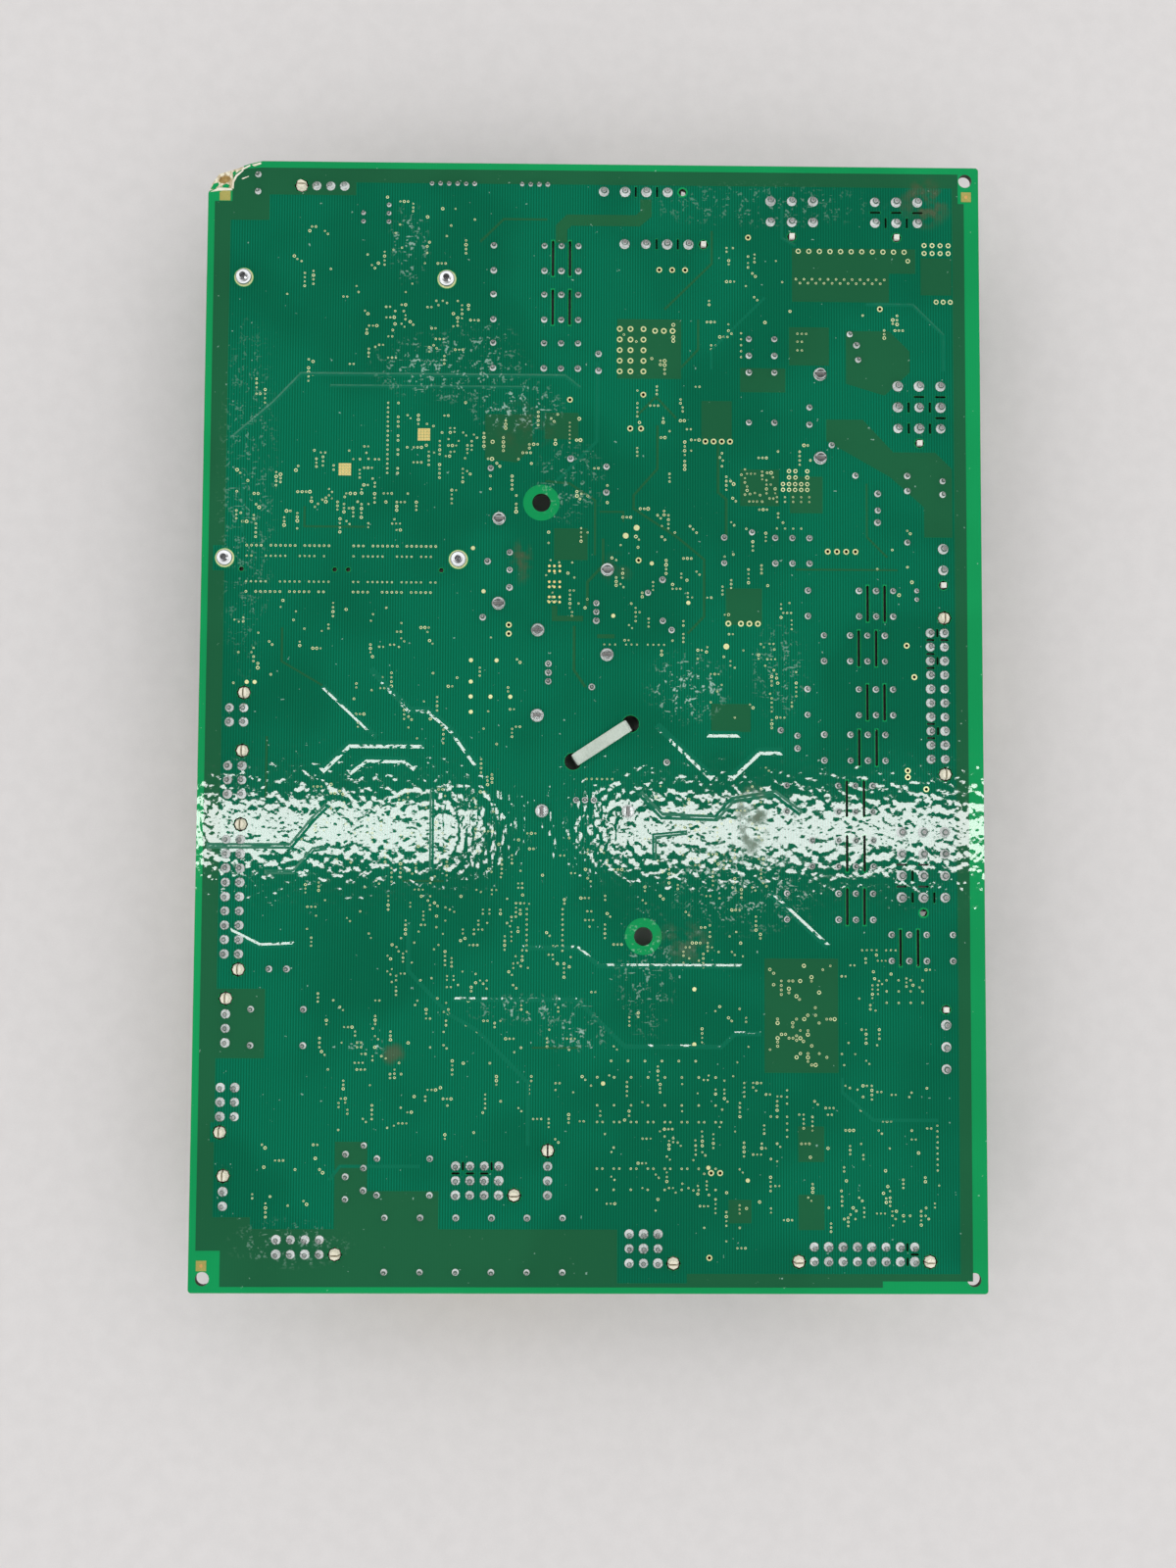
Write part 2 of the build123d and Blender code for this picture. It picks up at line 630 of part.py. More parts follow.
def header_housing(header):
    """Return the moulded shroud of a header, with its ears, pegs and latch."""
    style = header.style
    width, length = header.block()
    housing = below(header.centre(), (width, length, style.height))
    pocket = Box(width - 2 * style.wall, length - 2 * style.wall, style.pocket_depth, align=TOP_DIRECTION)
    housing -= spot(header.centre(), UNDERSIDE - style.height) * pocket
    right, down = header.centre()
    latch_right = right + header.latch[0] * (width + LATCH_DEPTH) / 2
    latch_down = down + header.latch[1] * (length + LATCH_DEPTH) / 2
    latch_size = (LATCH_DEPTH, LATCH_WIDTH) if header.latch[0] else (LATCH_WIDTH, LATCH_DEPTH)
    latch = Box(*latch_size, LATCH_HEIGHT, align=TOP_DIRECTION)
    housing += spot((latch_right, latch_down), UNDERSIDE - style.height + style.wall) * latch
    for peg in header.pegs:
        if peg.fitted:
            housing += header_ear(header, peg)
    return housing


def header_ear(header, peg):
    """Return the foot beside a shroud and the peg that stands on it."""
    place = header.peg_place(peg)
    pin = header.pin(peg.column, peg.row)
    middle = ((place[0] + pin[0]) / 2, (place[1] + pin[1]) / 2)
    reach = PEG_STEP + EAR_WIDTH / 2
    size = (reach, EAR_WIDTH) if peg.right else (EAR_WIDTH, reach)
    shift = EAR_WIDTH / 4
    foot_place = (middle[0] + peg.right * shift, middle[1] + peg.down * shift)
    foot = below(foot_place, size + (EAR_THICKNESS,))
    if header.style is SIGNAL:
        stem = signal_peg(upright=peg.right == 0)
    else:
        stem = Box(POWER_PEG_SIZE, POWER_PEG_SIZE, BOARD_THICKNESS + PEG_RISE / 2, align=TOP_DIRECTION)
    return foot + spot(place, UNDERSIDE) * stem


def header_pins(style):
    """Return the contact pins that stand in the pockets of all headers of a style."""
    floor = UNDERSIDE - style.height + style.pocket_depth
    if style is POWER:
        size = POWER_PIN_SIZE
    else:
        size = SIGNAL_PIN_SIZE
    pin = Box(size, size, style.pin_rise, align=BOTTOM_DIRECTION)
    headers = [header for header in HEADERS if header.style is style]
    return [spot(place, floor) * pin for header in headers for place in header.pins()]


def relay_case(relay):
    """Return the sealed case of a relay."""
    length, width, height = relay.style.size
    size = (width, length, height) if relay.heading[1] else (length, width, height)
    case = below(relay.centre(), size)
    return chamfer(far_edges(case), RELAY_CHAMFER)


def heatsink_body(heatsink):
    """Return the extruded fins and web of a heatsink, standing on its end."""
    end_place = (HEATSINK_WIDTH - HEATSINK_END) / 2
    profile = Rectangle(HEATSINK_WIDTH, HEATSINK_WEB)
    for sign in (-1, 1):
        profile += Pos(sign * end_place, 0) * Rectangle(HEATSINK_END, HEATSINK_DEPTH)
        for fin in range(1, FIN_COUNT + 1):
            profile += Pos(sign * (end_place - fin * FIN_STEP), 0) * Rectangle(FIN_THICKNESS, HEATSINK_DEPTH)
    turn = 0 if heatsink.turned else 90
    body = extrude(profile, amount=HEATSINK_HEIGHT)
    return spot((heatsink.right, heatsink.down)) * Rot(0, 0, turn) * body


def oriented(heatsink, along, off, height):
    """Return a block size for a block along the web and off it."""
    return (along, off, height) if heatsink.turned else (off, along, height)


def transistor(heatsink):
    """Return a power transistor with its tab flat against the web."""
    face = HEATSINK_WEB / 2
    top = UNDERSIDE - TRANSISTOR_DROP
    body_size = oriented(heatsink, TRANSISTOR_WIDTH, TRANSISTOR_THICKNESS, TRANSISTOR_LENGTH - TAB_LENGTH)
    body_place = heatsink.place(heatsink.shift, face + TRANSISTOR_THICKNESS / 2)
    tab_size = oriented(heatsink, TRANSISTOR_WIDTH, TAB_THICKNESS, TRANSISTOR_LENGTH)
    tab_place = heatsink.place(heatsink.shift, face + TAB_THICKNESS / 2)
    package = spot(body_place, top) * Box(*body_size, align=BOTTOM_DIRECTION)
    package += spot(tab_place, top) * Box(*tab_size, align=BOTTOM_DIRECTION)
    for leg in heatsink.legs:
        package += transistor_leg(heatsink, leg)
    return package


def transistor_leg(heatsink, leg):
    """Return a leg that steps from its place on the board to the package."""
    inner_place = heatsink.place(heatsink.shift + leg * LEAD_PITCH, LEAD_OFFSET)
    outer_place = heatsink.leg_place(leg)
    half = (TRANSISTOR_DROP + LEAD_THICKNESS) / 2
    step_top = UNDERSIDE - half + LEAD_THICKNESS
    run_size = oriented(heatsink, LEAD_WIDTH, LEAD_THICKNESS, half)
    step_length = abs(leg) * (heatsink.spread - 1) * LEAD_PITCH + LEAD_WIDTH
    step_size = oriented(heatsink, step_length, LEAD_THICKNESS, LEAD_THICKNESS)
    step_place = ((inner_place[0] + outer_place[0]) / 2, (inner_place[1] + outer_place[1]) / 2)
    upper = spot(outer_place, UNDERSIDE) * Box(*run_size, align=BOTTOM_DIRECTION)
    step = spot(step_place, step_top) * Box(*step_size, align=BOTTOM_DIRECTION)
    lower = spot(inner_place, step_top) * Box(*run_size, align=BOTTOM_DIRECTION)
    return upper + step + lower


def transistor_bolts(heatsink):
    """Return the bolt head on the tab and the nut on the far side of the web."""
    height = UNDERSIDE - TRANSISTOR_DROP - TRANSISTOR_LENGTH + TAB_LENGTH / 2
    tilt = Rot(90, 0, 0) if heatsink.turned else Rot(0, 90, 0)
    head = Pos(0, 0, -BOLT_HEAD / 2) * prism(BOLT_RADIUS, HEX_SIDES, BOLT_HEAD)
    nut = Pos(0, 0, -NUT_HEIGHT / 2) * prism(BOLT_RADIUS, HEX_SIDES, NUT_HEIGHT)
    head_off = HEATSINK_WEB / 2 + TAB_THICKNESS + BOLT_HEAD / 2
    nut_off = -HEATSINK_WEB / 2 - NUT_HEIGHT / 2
    return [
        spot(heatsink.place(heatsink.shift, head_off), height) * tilt * head,
        spot(heatsink.place(heatsink.shift, nut_off), height) * tilt * nut,
    ]


def film_places():
    """Return the centres of the film capacitors."""
    return [(FILM_FIRST[0] + index * FILM_STEP, FILM_FIRST[1]) for index in range(FILM_COUNT)]


def film_capacitor(place):
    """Return a boxed film capacitor."""
    case = below(place, FILM_SIZE)
    return chamfer(far_edges(case), FILM_CHAMFER)


def mains_choke(place):
    """Return a frame-core choke: a base, a framed core and a coil on each leg."""
    width, depth, height = CHOKE_CORE
    base = Box(*CHOKE_BASE, align=BOTTOM_DIRECTION)
    core = Pos(0, 0, -CHOKE_BASE[2]) * Box(*CHOKE_CORE, align=BOTTOM_DIRECTION)
    window = Pos(0, 0, -CHOKE_BASE[2] - height / 2) * Box(CHOKE_WINDOW[0], 2 * depth, CHOKE_WINDOW[1])
    choke = base + (core - window)
    leg = (width + CHOKE_WINDOW[0]) / 4
    for sign in (-1, 1):
        coil = prism(CHOKE_COIL_RADIUS, SCREW_SIDES, CHOKE_COIL_HEIGHT)
        choke += Pos(sign * leg, 0, -CHOKE_BASE[2] - (height + CHOKE_COIL_HEIGHT) / 2) * coil
    return spot(place, UNDERSIDE) * choke


def choke_pins(place):
    """Return the four pin places of a choke."""
    across, along = CHOKE_PIN_STEPS
    return [(place[0] + i * across / 2, place[1] + j * along / 2) for i in (-1, 1) for j in (-1, 1)]


def varistor_places():
    """Return the centres of the disc varistors."""
    right, down = VARISTOR_FIRST
    return [(right, down + index * VARISTOR_STEP) for index in range(VARISTOR_COUNT)]


def varistor(place):
    """Return a disc varistor on its two offset leads."""
    centre = -VARISTOR_DROP - VARISTOR_RADIUS
    disc = prism(VARISTOR_RADIUS, CAN_SIDES, VARISTOR_THICKNESS)
    disc = Pos(0, VARISTOR_THICKNESS / 2, centre) * Rot(90, 0, 0) * disc
    for right, down in VARISTOR_LEADS:
        disc += Pos(right, -down, 0) * Box(LEAD_WIDTH, LEAD_WIDTH, -centre, align=BOTTOM_DIRECTION)
    return spot(place, UNDERSIDE) * disc


def can(first, second, radius, height):
    """Return a round capacitor that stands on the board between its leads."""
    place = ((first[0] + second[0]) / 2, (first[1] + second[1]) / 2)
    return spot(place, UNDERSIDE - height) * prism(radius, CAN_SIDES, height)


def ring_core():
    """Return the coated ring of the choke."""
    ring = RegularPolygon(RING_OUTER_RADIUS, RING_SIDES) - RegularPolygon(RING_INNER_RADIUS, RING_SIDES)
    return spot(RING_CENTRE, RING_BOTTOM) * extrude(ring, amount=RING_HEIGHT)


def ring_turn():
    """Return one turn of wire round the section of the ring, at angle zero."""
    inner_width = RING_OUTER_RADIUS - RING_INNER_RADIUS + 2 * WIRE_CLEARANCE
    outer = Box(inner_width + 2 * WIRE_SIZE, WIRE_SIZE, RING_HEIGHT + 2 * WIRE_SIZE)
    hole = Box(inner_width, 2 * WIRE_SIZE, RING_HEIGHT)
    middle = (RING_OUTER_RADIUS + RING_INNER_RADIUS) / 2
    return Pos(middle, 0, RING_BOTTOM + RING_HEIGHT / 2) * (outer - hole)


def lead_places():
    """Return the places where the ends of the winding pass through the board."""
    places = []
    for angle in (FIRST_LEAD_ANGLE, LAST_LEAD_ANGLE):
        right = RING_CENTRE[0] + LEAD_RADIUS * math.cos(math.radians(angle))
        down = RING_CENTRE[1] - LEAD_RADIUS * math.sin(math.radians(angle))
        places.append((right, down))
    return places


def ring_winding():
    """Return the turns of the choke and the leads at both ends."""
    turn = ring_turn()
    step = (LAST_LEAD_ANGLE - FIRST_LEAD_ANGLE) / (TURN_COUNT - 1)
    turns = [Rot(0, 0, FIRST_LEAD_ANGLE + index * step) * turn for index in range(TURN_COUNT)]
    turn_face = RING_OUTER_RADIUS + WIRE_CLEARANCE + WIRE_SIZE
    reach = LEAD_RADIUS + WIRE_SIZE / 2 - turn_face
    lead = Box(reach, WIRE_SIZE, RING_HEIGHT / 2, align=BOTTOM_DIRECTION)
    lead = Pos(turn_face + reach / 2, 0, UNDERSIDE) * lead
    turns[0] += Rot(0, 0, FIRST_LEAD_ANGLE) * lead
    turns[-1] += Rot(0, 0, LAST_LEAD_ANGLE) * lead
    return [spot(RING_CENTRE) * turn for turn in turns]


def cable_tie():
    """Return the closed tie, from hole to hole over the board and round the ring."""
    first, second = TIE_HOLES
    span = math.dist(first, second)
    angle = math.degrees(math.atan2(first[1] - second[1], second[0] - first[0]))
    near = math.sqrt(TIE_HOLE_RADIUS ** 2 - (TIE_WIDTH / 2) ** 2) - TIE_CLEARANCE
    inner_length = span - 2 * near
    bottom = RING_BOTTOM - TIE_THICKNESS
    inner_height = TOPSIDE - RING_BOTTOM
    outer = Rectangle(inner_length + 2 * TIE_THICKNESS, inner_height + 2 * TIE_THICKNESS)
    band = chamfer(outer.vertices(), TIE_CORNER) - Rectangle(inner_length, inner_height)
    loop = extrude(band, amount=TIE_WIDTH / 2, both=True)
    loop = Pos(span / 2, 0, RING_BOTTOM + inner_height / 2) * Rot(90, 0, 0) * loop
    head_height = bottom + TIE_THICKNESS / 2 - TIE_HEAD[2] / 2
    loop += Pos(span / 2, 0, head_height) * Box(*TIE_HEAD)
    return spot(first) * Rot(0, 0, angle) * loop


def module_board():
    """Return the board of the plug-in module."""
    width, length, thickness = MODULE_SIZE
    outline = Rectangle(width, length)
    outline = chamfer(outline.vertices(), MODULE_CORNER)
    board = spot(MODULE_CENTRE, MODULE_BACK) * extrude(outline, amount=thickness)
    hole = prism(SCREW_HOLE_RADIUS, SCREW_SIDES, thickness)
    return board - [spot(place, MODULE_BACK) * hole for place in MODULE_SCREWS]


def module_chips():
    """Return the packages on the far side of the module."""
    return [spot(place, MODULE_BACK) * Box(*size, align=BOTTOM_DIRECTION) for place, size in MODULE_CHIPS]


def module_connectors():
    """Return the two mated connectors between the board and the module."""
    size = (CONNECTOR_LENGTH, CONNECTOR_WIDTH, MODULE_GAP)
    return [below(place, size) for place in MODULE_CONNECTORS]


def module_spacers():
    """Return the four threaded spacers of the module."""
    bore = RegularPolygon(SPACER_BORE_RADIUS, PIN_SIDES)
    spacer = extrude(RegularPolygon(SPACER_RADIUS, HEX_SIDES) - bore, amount=MODULE_GAP)
    return [spot(place, MODULE_FACE) * spacer for place in MODULE_SCREWS]


def module_screws():
    """Return the screws in both ends of each spacer."""
    head = prism(SCREW_HEAD_RADIUS, SCREW_SIDES, SCREW_HEAD_HEIGHT)
    upper_shank = prism(SCREW_SHANK_RADIUS, PIN_SIDES, BOARD_THICKNESS + SCREW_REACH)
    lower_shank = prism(SCREW_SHANK_RADIUS, PIN_SIDES, MODULE_SIZE[2] + SCREW_REACH)
    upper = Pos(0, 0, TOPSIDE) * head + Pos(0, 0, UNDERSIDE - SCREW_REACH) * upper_shank
    lower = Pos(0, 0, MODULE_BACK - SCREW_HEAD_HEIGHT) * head + Pos(0, 0, MODULE_BACK) * lower_shank
    return [spot(place) * screw for place in MODULE_SCREWS for screw in (upper, lower)]


def surface_chips():
    """Return the surface-mounted packages, with a row of like couplers."""
    chips = [below(place, size) for place, size in CHIPS]
    right, down = COUPLER_FIRST
    chips += [below((right + index * COUPLER_STEP, down), COUPLER_SIZE) for index in range(COUPLER_COUNT)]
    return chips


def pin_strip(strip):
    """Return a plain strip of square pins; a pin that stands alone has no strip."""
    places = strip.pins()
    first, last = places[0], places[-1]
    centre = ((first[0] + last[0]) / 2, (first[1] + last[1]) / 2)
    size = (last[0] - first[0] + STRIP_PITCH, last[1] - first[1] + STRIP_PITCH, STRIP_HEIGHT)
    pins = [below(place, (STRIP_PIN_SIZE, STRIP_PIN_SIZE, STRIP_PIN_LENGTH)) for place in places]
    return below(centre, size) + pins if len(pins) > 1 else pins[0]


def blunt_joint(radius, height):
    """Return a joint that narrows to the broad cut end of its pin."""
    return prism(radius, JOINT_SIDES, height, taper=JOINT_TAPER)


def pointed_joint(radius, height):
    """Return a joint that narrows to the fine end of its lead."""
    foot = Plane.XY * RegularPolygon(radius, SMALL_JOINT_SIDES)
    return loft([foot.face(), Vertex(0, 0, height)])


def small_joint_places():
    """Return the places of the joints of relays, filter parts, cans and strips."""
    places = [pin for relay in RELAYS for pin in relay.pins()]
    half = FILM_LEAD_STEP / 2
    places += [(right, down + sign * half) for right, down in film_places() for sign in (-1, 1)]
    places += [pin for place in CHOKES for pin in choke_pins(place)]
    for right, down in varistor_places():
        places += [(right + lead[0], down + lead[1]) for lead in VARISTOR_LEADS]
    places += [lead for first, second, radius, height in CANS for lead in (first, second)]
    places += [heatsink.leg_place(leg) for heatsink in HEATSINKS for leg in heatsink.legs]
    places += [pin for strip in STRIPS for pin in strip.pins()]
    return places + lead_places() + list(LONE_JOINTS)


def solder_joints():
    """Return every joint on the solder side."""
    power = blunt_joint(POWER_JOINT_RADIUS, POWER_JOINT_HEIGHT)
    signal = pointed_joint(SIGNAL_JOINT_RADIUS, SIGNAL_JOINT_HEIGHT)
    small = pointed_joint(RELAY_JOINT_RADIUS, RELAY_JOINT_HEIGHT)
    joints = []
    for header in HEADERS:
        joint = power if header.style is POWER else signal
        joints += [spot(place, TOPSIDE) * joint for place in header.pins()]
    joints += [spot(place, TOPSIDE) * power for heatsink in HEATSINKS for place in heatsink.pins()]
    joints += [spot(place, TOPSIDE) * small for place in small_joint_places()]
    return joints


def write(name, shape):
    """Write one node; a list becomes a group of separate solids."""
    if isinstance(shape, list):
        shape = Compound(children=[solid for item in shape for solid in item.solids()])
    export_step(shape, os.path.join("parts", f"{name}.step"))


def main():
    """Build every node and write it."""
    os.makedirs("parts", exist_ok=True)
    write("circuit_board", circuit_board())
    for header in HEADERS:
        write(header.name, header_housing(header))
    write("power_header_pins", header_pins(POWER))
    write("signal_header_pins", header_pins(SIGNAL))
    for relay in RELAYS:
        write(relay.name, relay_case(relay))
    for heatsink in HEATSINKS:
        write(heatsink.name, heatsink_body(heatsink))
    write("power_transistors", [transistor(heatsink) for heatsink in HEATSINKS])
    write("transistor_bolts", [bolt for heatsink in HEATSINKS for bolt in transistor_bolts(heatsink)])
    write("film_capacitors", [film_capacitor(place) for place in film_places()])
    write("mains_chokes", [mains_choke(place) for place in CHOKES])
    write("disc_varistors", [varistor(place) for place in varistor_places()])
    write("round_capacitors", [can(*entry) for entry in CANS])
    write("ring_choke_core", ring_core())
    write("ring_choke_winding", ring_winding())
    write("cable_tie", cable_tie())
    write("module_board", module_board())
    write("module_chips", module_chips())
    write("module_connectors", module_connectors())
    write("module_spacers", module_spacers())
    write("module_screws", module_screws())
    write("surface_chips", surface_chips())
    write("pin_strips", [pin_strip(strip) for strip in STRIPS])
    write("solder_joints", solder_joints())


main()
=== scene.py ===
"""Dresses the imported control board: its coated solder side first, then the parts below it.

Lengths in the tables are millimetres. A place on the board is (right, down) from its top left
corner, as seen on the solder side. Meshes are in metres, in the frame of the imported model.
"""

import logging
import math
import random
from dataclasses import dataclass, field
from enum import Enum
from typing import Callable, Iterable, Sequence

import bmesh
import bpy
from mathutils import Euler, Matrix, Vector

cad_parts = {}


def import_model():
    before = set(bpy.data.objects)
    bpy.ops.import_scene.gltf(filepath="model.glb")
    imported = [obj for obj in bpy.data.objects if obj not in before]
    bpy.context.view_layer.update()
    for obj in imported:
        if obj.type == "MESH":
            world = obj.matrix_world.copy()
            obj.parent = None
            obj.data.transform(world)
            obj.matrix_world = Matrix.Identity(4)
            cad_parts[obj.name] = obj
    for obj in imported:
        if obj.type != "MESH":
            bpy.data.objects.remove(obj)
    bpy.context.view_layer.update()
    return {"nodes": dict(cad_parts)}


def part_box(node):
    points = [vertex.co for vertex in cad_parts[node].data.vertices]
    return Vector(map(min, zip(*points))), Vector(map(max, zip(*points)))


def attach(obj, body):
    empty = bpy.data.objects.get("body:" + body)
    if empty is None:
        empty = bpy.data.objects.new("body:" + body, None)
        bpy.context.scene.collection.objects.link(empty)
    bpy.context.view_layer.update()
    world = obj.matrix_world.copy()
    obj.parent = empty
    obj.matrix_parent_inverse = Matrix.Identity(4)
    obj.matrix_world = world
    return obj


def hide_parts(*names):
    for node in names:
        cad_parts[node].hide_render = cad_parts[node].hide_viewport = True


LOG = logging.getLogger("control_board")

MM = 0.001
HALF_WIDTH = 115.0
HALF_LENGTH = 166.0
BODY = "root"
SINK = 0.006
UP = (0, 0, 1)
EVEN = (1, 1, 1)
# Painted shade for the headers' top face under the board: the half height of its band in
# millimetres, and its near-black colour.
SEAT_SHADE_REACH = 0.08
SEAT_SHADE = (0.006, 0.006, 0.005)

Place = tuple[float, float]
Colour = tuple[float, float, float]
Socket = bpy.types.NodeSocket
Work = bmesh.types.BMesh


def at(place: Place, height: float) -> Vector:
    """Return the model position of a place on the board.

    Args:
        place: the place as (right, down) in millimetres.
        height: the height above the ground in millimetres.

    Returns:
        The position in metres.
    """
    return Vector(((place[0] - HALF_WIDTH) * MM, (HALF_LENGTH - place[1]) * MM, height * MM))


class Grain(Enum):
    """The surface that a plain finish shows close up: its features' size and their stretch."""

    MOULDED = (0.35, (1, 1, 1))
    BRUSHED = (0.35, (1, 1, 12))
    CAST = (0.8, (1, 1, 1))


@dataclass
class ShaderSheet:
    """A material's node tree, with short calls for the nodes that the finishes share."""

    name: str
    material: bpy.types.Material = field(init=False)

    def __post_init__(self) -> None:
        """Make the material and keep its tree, its shader and the object's coordinates."""
        self.material = bpy.data.materials.new(self.name)
        self.material.use_nodes = True
        self.tree = self.material.node_tree
        self.shader = next(node for node in self.tree.nodes if node.type == "BSDF_PRINCIPLED")
        self.coords = self.tree.nodes.new("ShaderNodeTexCoord").outputs["Object"]
        self.axes = self.tree.nodes.new("ShaderNodeSeparateXYZ")
        self.tree.links.new(self.coords, self.axes.inputs[0])

    def link(self, source: object, target: Socket) -> None:
        """Set an input.

        Args:
            source: the output to link to it, or its number or colour.
            target: the input.
        """
        if isinstance(source, Socket):
            self.tree.links.new(source, target)
        elif isinstance(source, tuple) and len(source) == 3 and target.type == "RGBA":
            target.default_value = (*source, 1.0)
        else:
            target.default_value = source

    def math(self, operation: str, first: object, second: object = 0.0,
             clamp: bool = False) -> Socket:
        """Add a sum on one or two values.

        Args:
            operation: the name of the sum.
            first: the first value.
            second: the second value, for sums that take two.
            clamp: whether the result stays from 0 to 1.

        Returns:
            The result.
        """
        node = self.tree.nodes.new("ShaderNodeMath")
        node.operation = operation
        node.use_clamp = clamp
        self.link(first, node.inputs[0])
        self.link(second, node.inputs[1])
        return node.outputs[0]

    def times(self, first: object, second: object, clamp: bool = False) -> Socket:
        """Return the product of two values."""
        return self.math("MULTIPLY", first, second, clamp)

    def noise(self, size: float, detail: float = 2.0, stretch: Sequence[float] = EVEN) -> Socket:
        """Add noise.

        Args:
            size: the size of its features in millimetres.
            detail: how much finer structure it has.
            stretch: how much tighter it is along each axis.

        Returns:
            The pattern.
        """
        mapping = self.tree.nodes.new("ShaderNodeMapping")
        mapping.inputs["Scale"].default_value = stretch
        self.link(self.coords, mapping.inputs["Vector"])
        node = self.tree.nodes.new("ShaderNodeTexNoise")
        node.inputs["Scale"].default_value = 1.0 / (size * MM)
        node.inputs["Detail"].default_value = detail
        self.link(mapping.outputs[0], node.inputs["Vector"])
        return node.outputs["Fac"]

    def band(self, value: object, low: float, high: float) -> Socket:
        """Add a smooth step.

        Args:
            value: the value that is stepped.
            low: where the step is still 0.
            high: where it has reached 1.

        Returns:
            The stepped value.
        """
        node = self.tree.nodes.new("ShaderNodeMapRange")
        node.interpolation_type = "SMOOTHSTEP"
        self.link(value, node.inputs["Value"])
        node.inputs["From Min"].default_value = low
        node.inputs["From Max"].default_value = high
        return node.outputs["Result"]

    def mix(self, share: object, first: object, second: object) -> Socket:
        """Mix two colours.

        Args:
            share: the share of the second colour.
            first: the first colour.
            second: the second colour.

        Returns:
            The mixed colour.
        """
        node = self.tree.nodes.new("ShaderNodeMix")
        node.data_type = "RGBA"
        self.link(share, node.inputs["Factor"])
        sockets = [socket for socket in node.inputs if socket.type == "RGBA"]
        self.link(first, sockets[0])
        self.link(second, sockets[1])
        return next(socket for socket in node.outputs if socket.type == "RGBA")

    def bump(self, heights: Sequence[tuple[object, float]]) -> None:
        """Chain bumps into the shader's normal.

        Args:
            heights: a pattern and its height in millimetres, for each bump.
        """
        normal = None
        for pattern, height in heights:
            node = self.tree.nodes.new("ShaderNodeBump")
            node.inputs["Distance"].default_value = height * MM
            self.link(pattern, node.inputs["Height"])
            if normal is not None:
                self.link(normal, node.inputs["Normal"])
            normal = node.outputs[0]
        self.link(normal, self.shader.inputs["Normal"])


@dataclass(frozen=True)
class Finish:
    """A plain finish: a colour that varies a little, a sheen and a fine relief, and, with a seat
    height, painted shade on the face at that height.
    """

    name: str
    colour: Colour
    shade: Colour
    roughness: float = 0.45
    metallic: float = 0.0
    grain: Grain = Grain.MOULDED
    relief: float = 0.01
    coat: float = 0.0
    seen_through: float = 0.0
    # seat: the height in millimetres of a face that is painted near black as shade; 0 for none.
    seat: float = 0.0
    broad_size: float = 6.0
    sheen_swing: float = 0.06

    def make(self) -> bpy.types.Material:
        """Make the material.

        Returns:
            A new material with this finish.
        """
        sheet = ShaderSheet(self.name)
        size, stretch = self.grain.value
        fine = sheet.noise(size, 4.0, stretch)
        broad = sheet.noise(self.broad_size, 3.0)
        both = sheet.math("ADD", sheet.times(fine, 0.5), sheet.times(broad, 0.5))
        colour = sheet.mix(sheet.band(both, 0.35, 0.65), self.colour, self.shade)
        # Painted shade: the face at the seat height lies hidden under the board and is darkened to
        # near black, as the shade there.
        if self.seat:
            near = sheet.math("COMPARE", sheet.axes.outputs["Z"], self.seat * MM)
            near.node.inputs[2].default_value = SEAT_SHADE_REACH * MM
            colour = sheet.mix(near, colour, SEAT_SHADE)
        sheet.link(colour, sheet.shader.inputs["Base Color"])
        rough = sheet.math("ADD", self.roughness - self.sheen_swing,
                           sheet.times(broad, 2 * self.sheen_swing), clamp=True)
        sheet.link(rough, sheet.shader.inputs["Roughness"])
        sheet.shader.inputs["Metallic"].default_value = self.metallic
        sheet.shader.inputs["Coat Weight"].default_value = self.coat
        sheet.shader.inputs["Subsurface Weight"].default_value = self.seen_through
        sheet.shader.inputs["Subsurface Radius"].default_value = (MM, MM, MM)
        sheet.bump([(fine, self.relief)])
        return sheet.material


@dataclass(frozen=True)
class Scuff:
    """A worn spot: its centre, its half sizes and how strong it is."""

    right: float
    down: float
    reach_right: float
    reach_down: float
    strength: float

    def share(self, sheet: ShaderSheet) -> Socket:
        """Draw the spot.

        Args:
            sheet: the shader to add to.

        Returns:
            The spot's strength at its centre, falling to 0 at its rim.
        """
        centre = at((self.right, self.down), 0.0)
        across = sheet.math("SUBTRACT", sheet.axes.outputs["X"], centre.x)
        along = sheet.math("SUBTRACT", sheet.axes.outputs["Y"], centre.y)
        across = sheet.math("DIVIDE", across, self.reach_right * MM)
        along = sheet.math("DIVIDE", along, self.reach_down * MM)
        squares = sheet.math("ADD", sheet.math("POWER", across, 2.0),
                             sheet.math("POWER", along, 2.0))
        return sheet.times(sheet.band(squares, 1.0, 0.0), self.strength)


WHITE_SCUFFS = tuple(Scuff(*row) for row in (
    (60, 25, 7, 14, 0.8), (72, 62, 26, 12, 0.9), (92, 74, 16, 10, 1), (82, 56, 12, 10, 0.7),
    (50, 262, 8, 3, 1.2), (98, 251, 22, 5, 0.8), (110, 258, 12, 6, 0.9), (143, 157, 14, 12, 1.1),
    (170, 152, 10, 16, 0.5), (131, 240, 10, 22, 0.6), (160, 215, 26, 16, 0.6),
    (165, 12, 40, 8, 0.35), (29, 318, 20, 8, 0.5), (13, 100, 10, 60, 0.35), (108, 96, 12, 14, 0.5),
))
BROWN_STAINS = tuple(Scuff(*row) for row in (
    (214, 11, 9, 9, 1), (94, 120, 4, 8, 0.8), (58, 264, 4, 4, 0.8), (142, 232, 10, 8, 0.5),
    (162, 196, 6, 12, 0.9), (122, 122, 6, 6, 0.3), (95, 80, 10, 10, 0.4),
))


def spot_share(sheet: ShaderSheet, scuffs: Iterable[Scuff]) -> Socket:
    """Draw a set of worn spots.

    Args:
        sheet: the shader to add to.
        scuffs: the worn spots.

    Returns:
        How strongly the surface lies within any of them, from 0 to about 1.
    """
    first, *others = [scuff.share(sheet) for scuff in scuffs]
    for share in others:
        first = sheet.math("MAXIMUM", first, share)
    return first


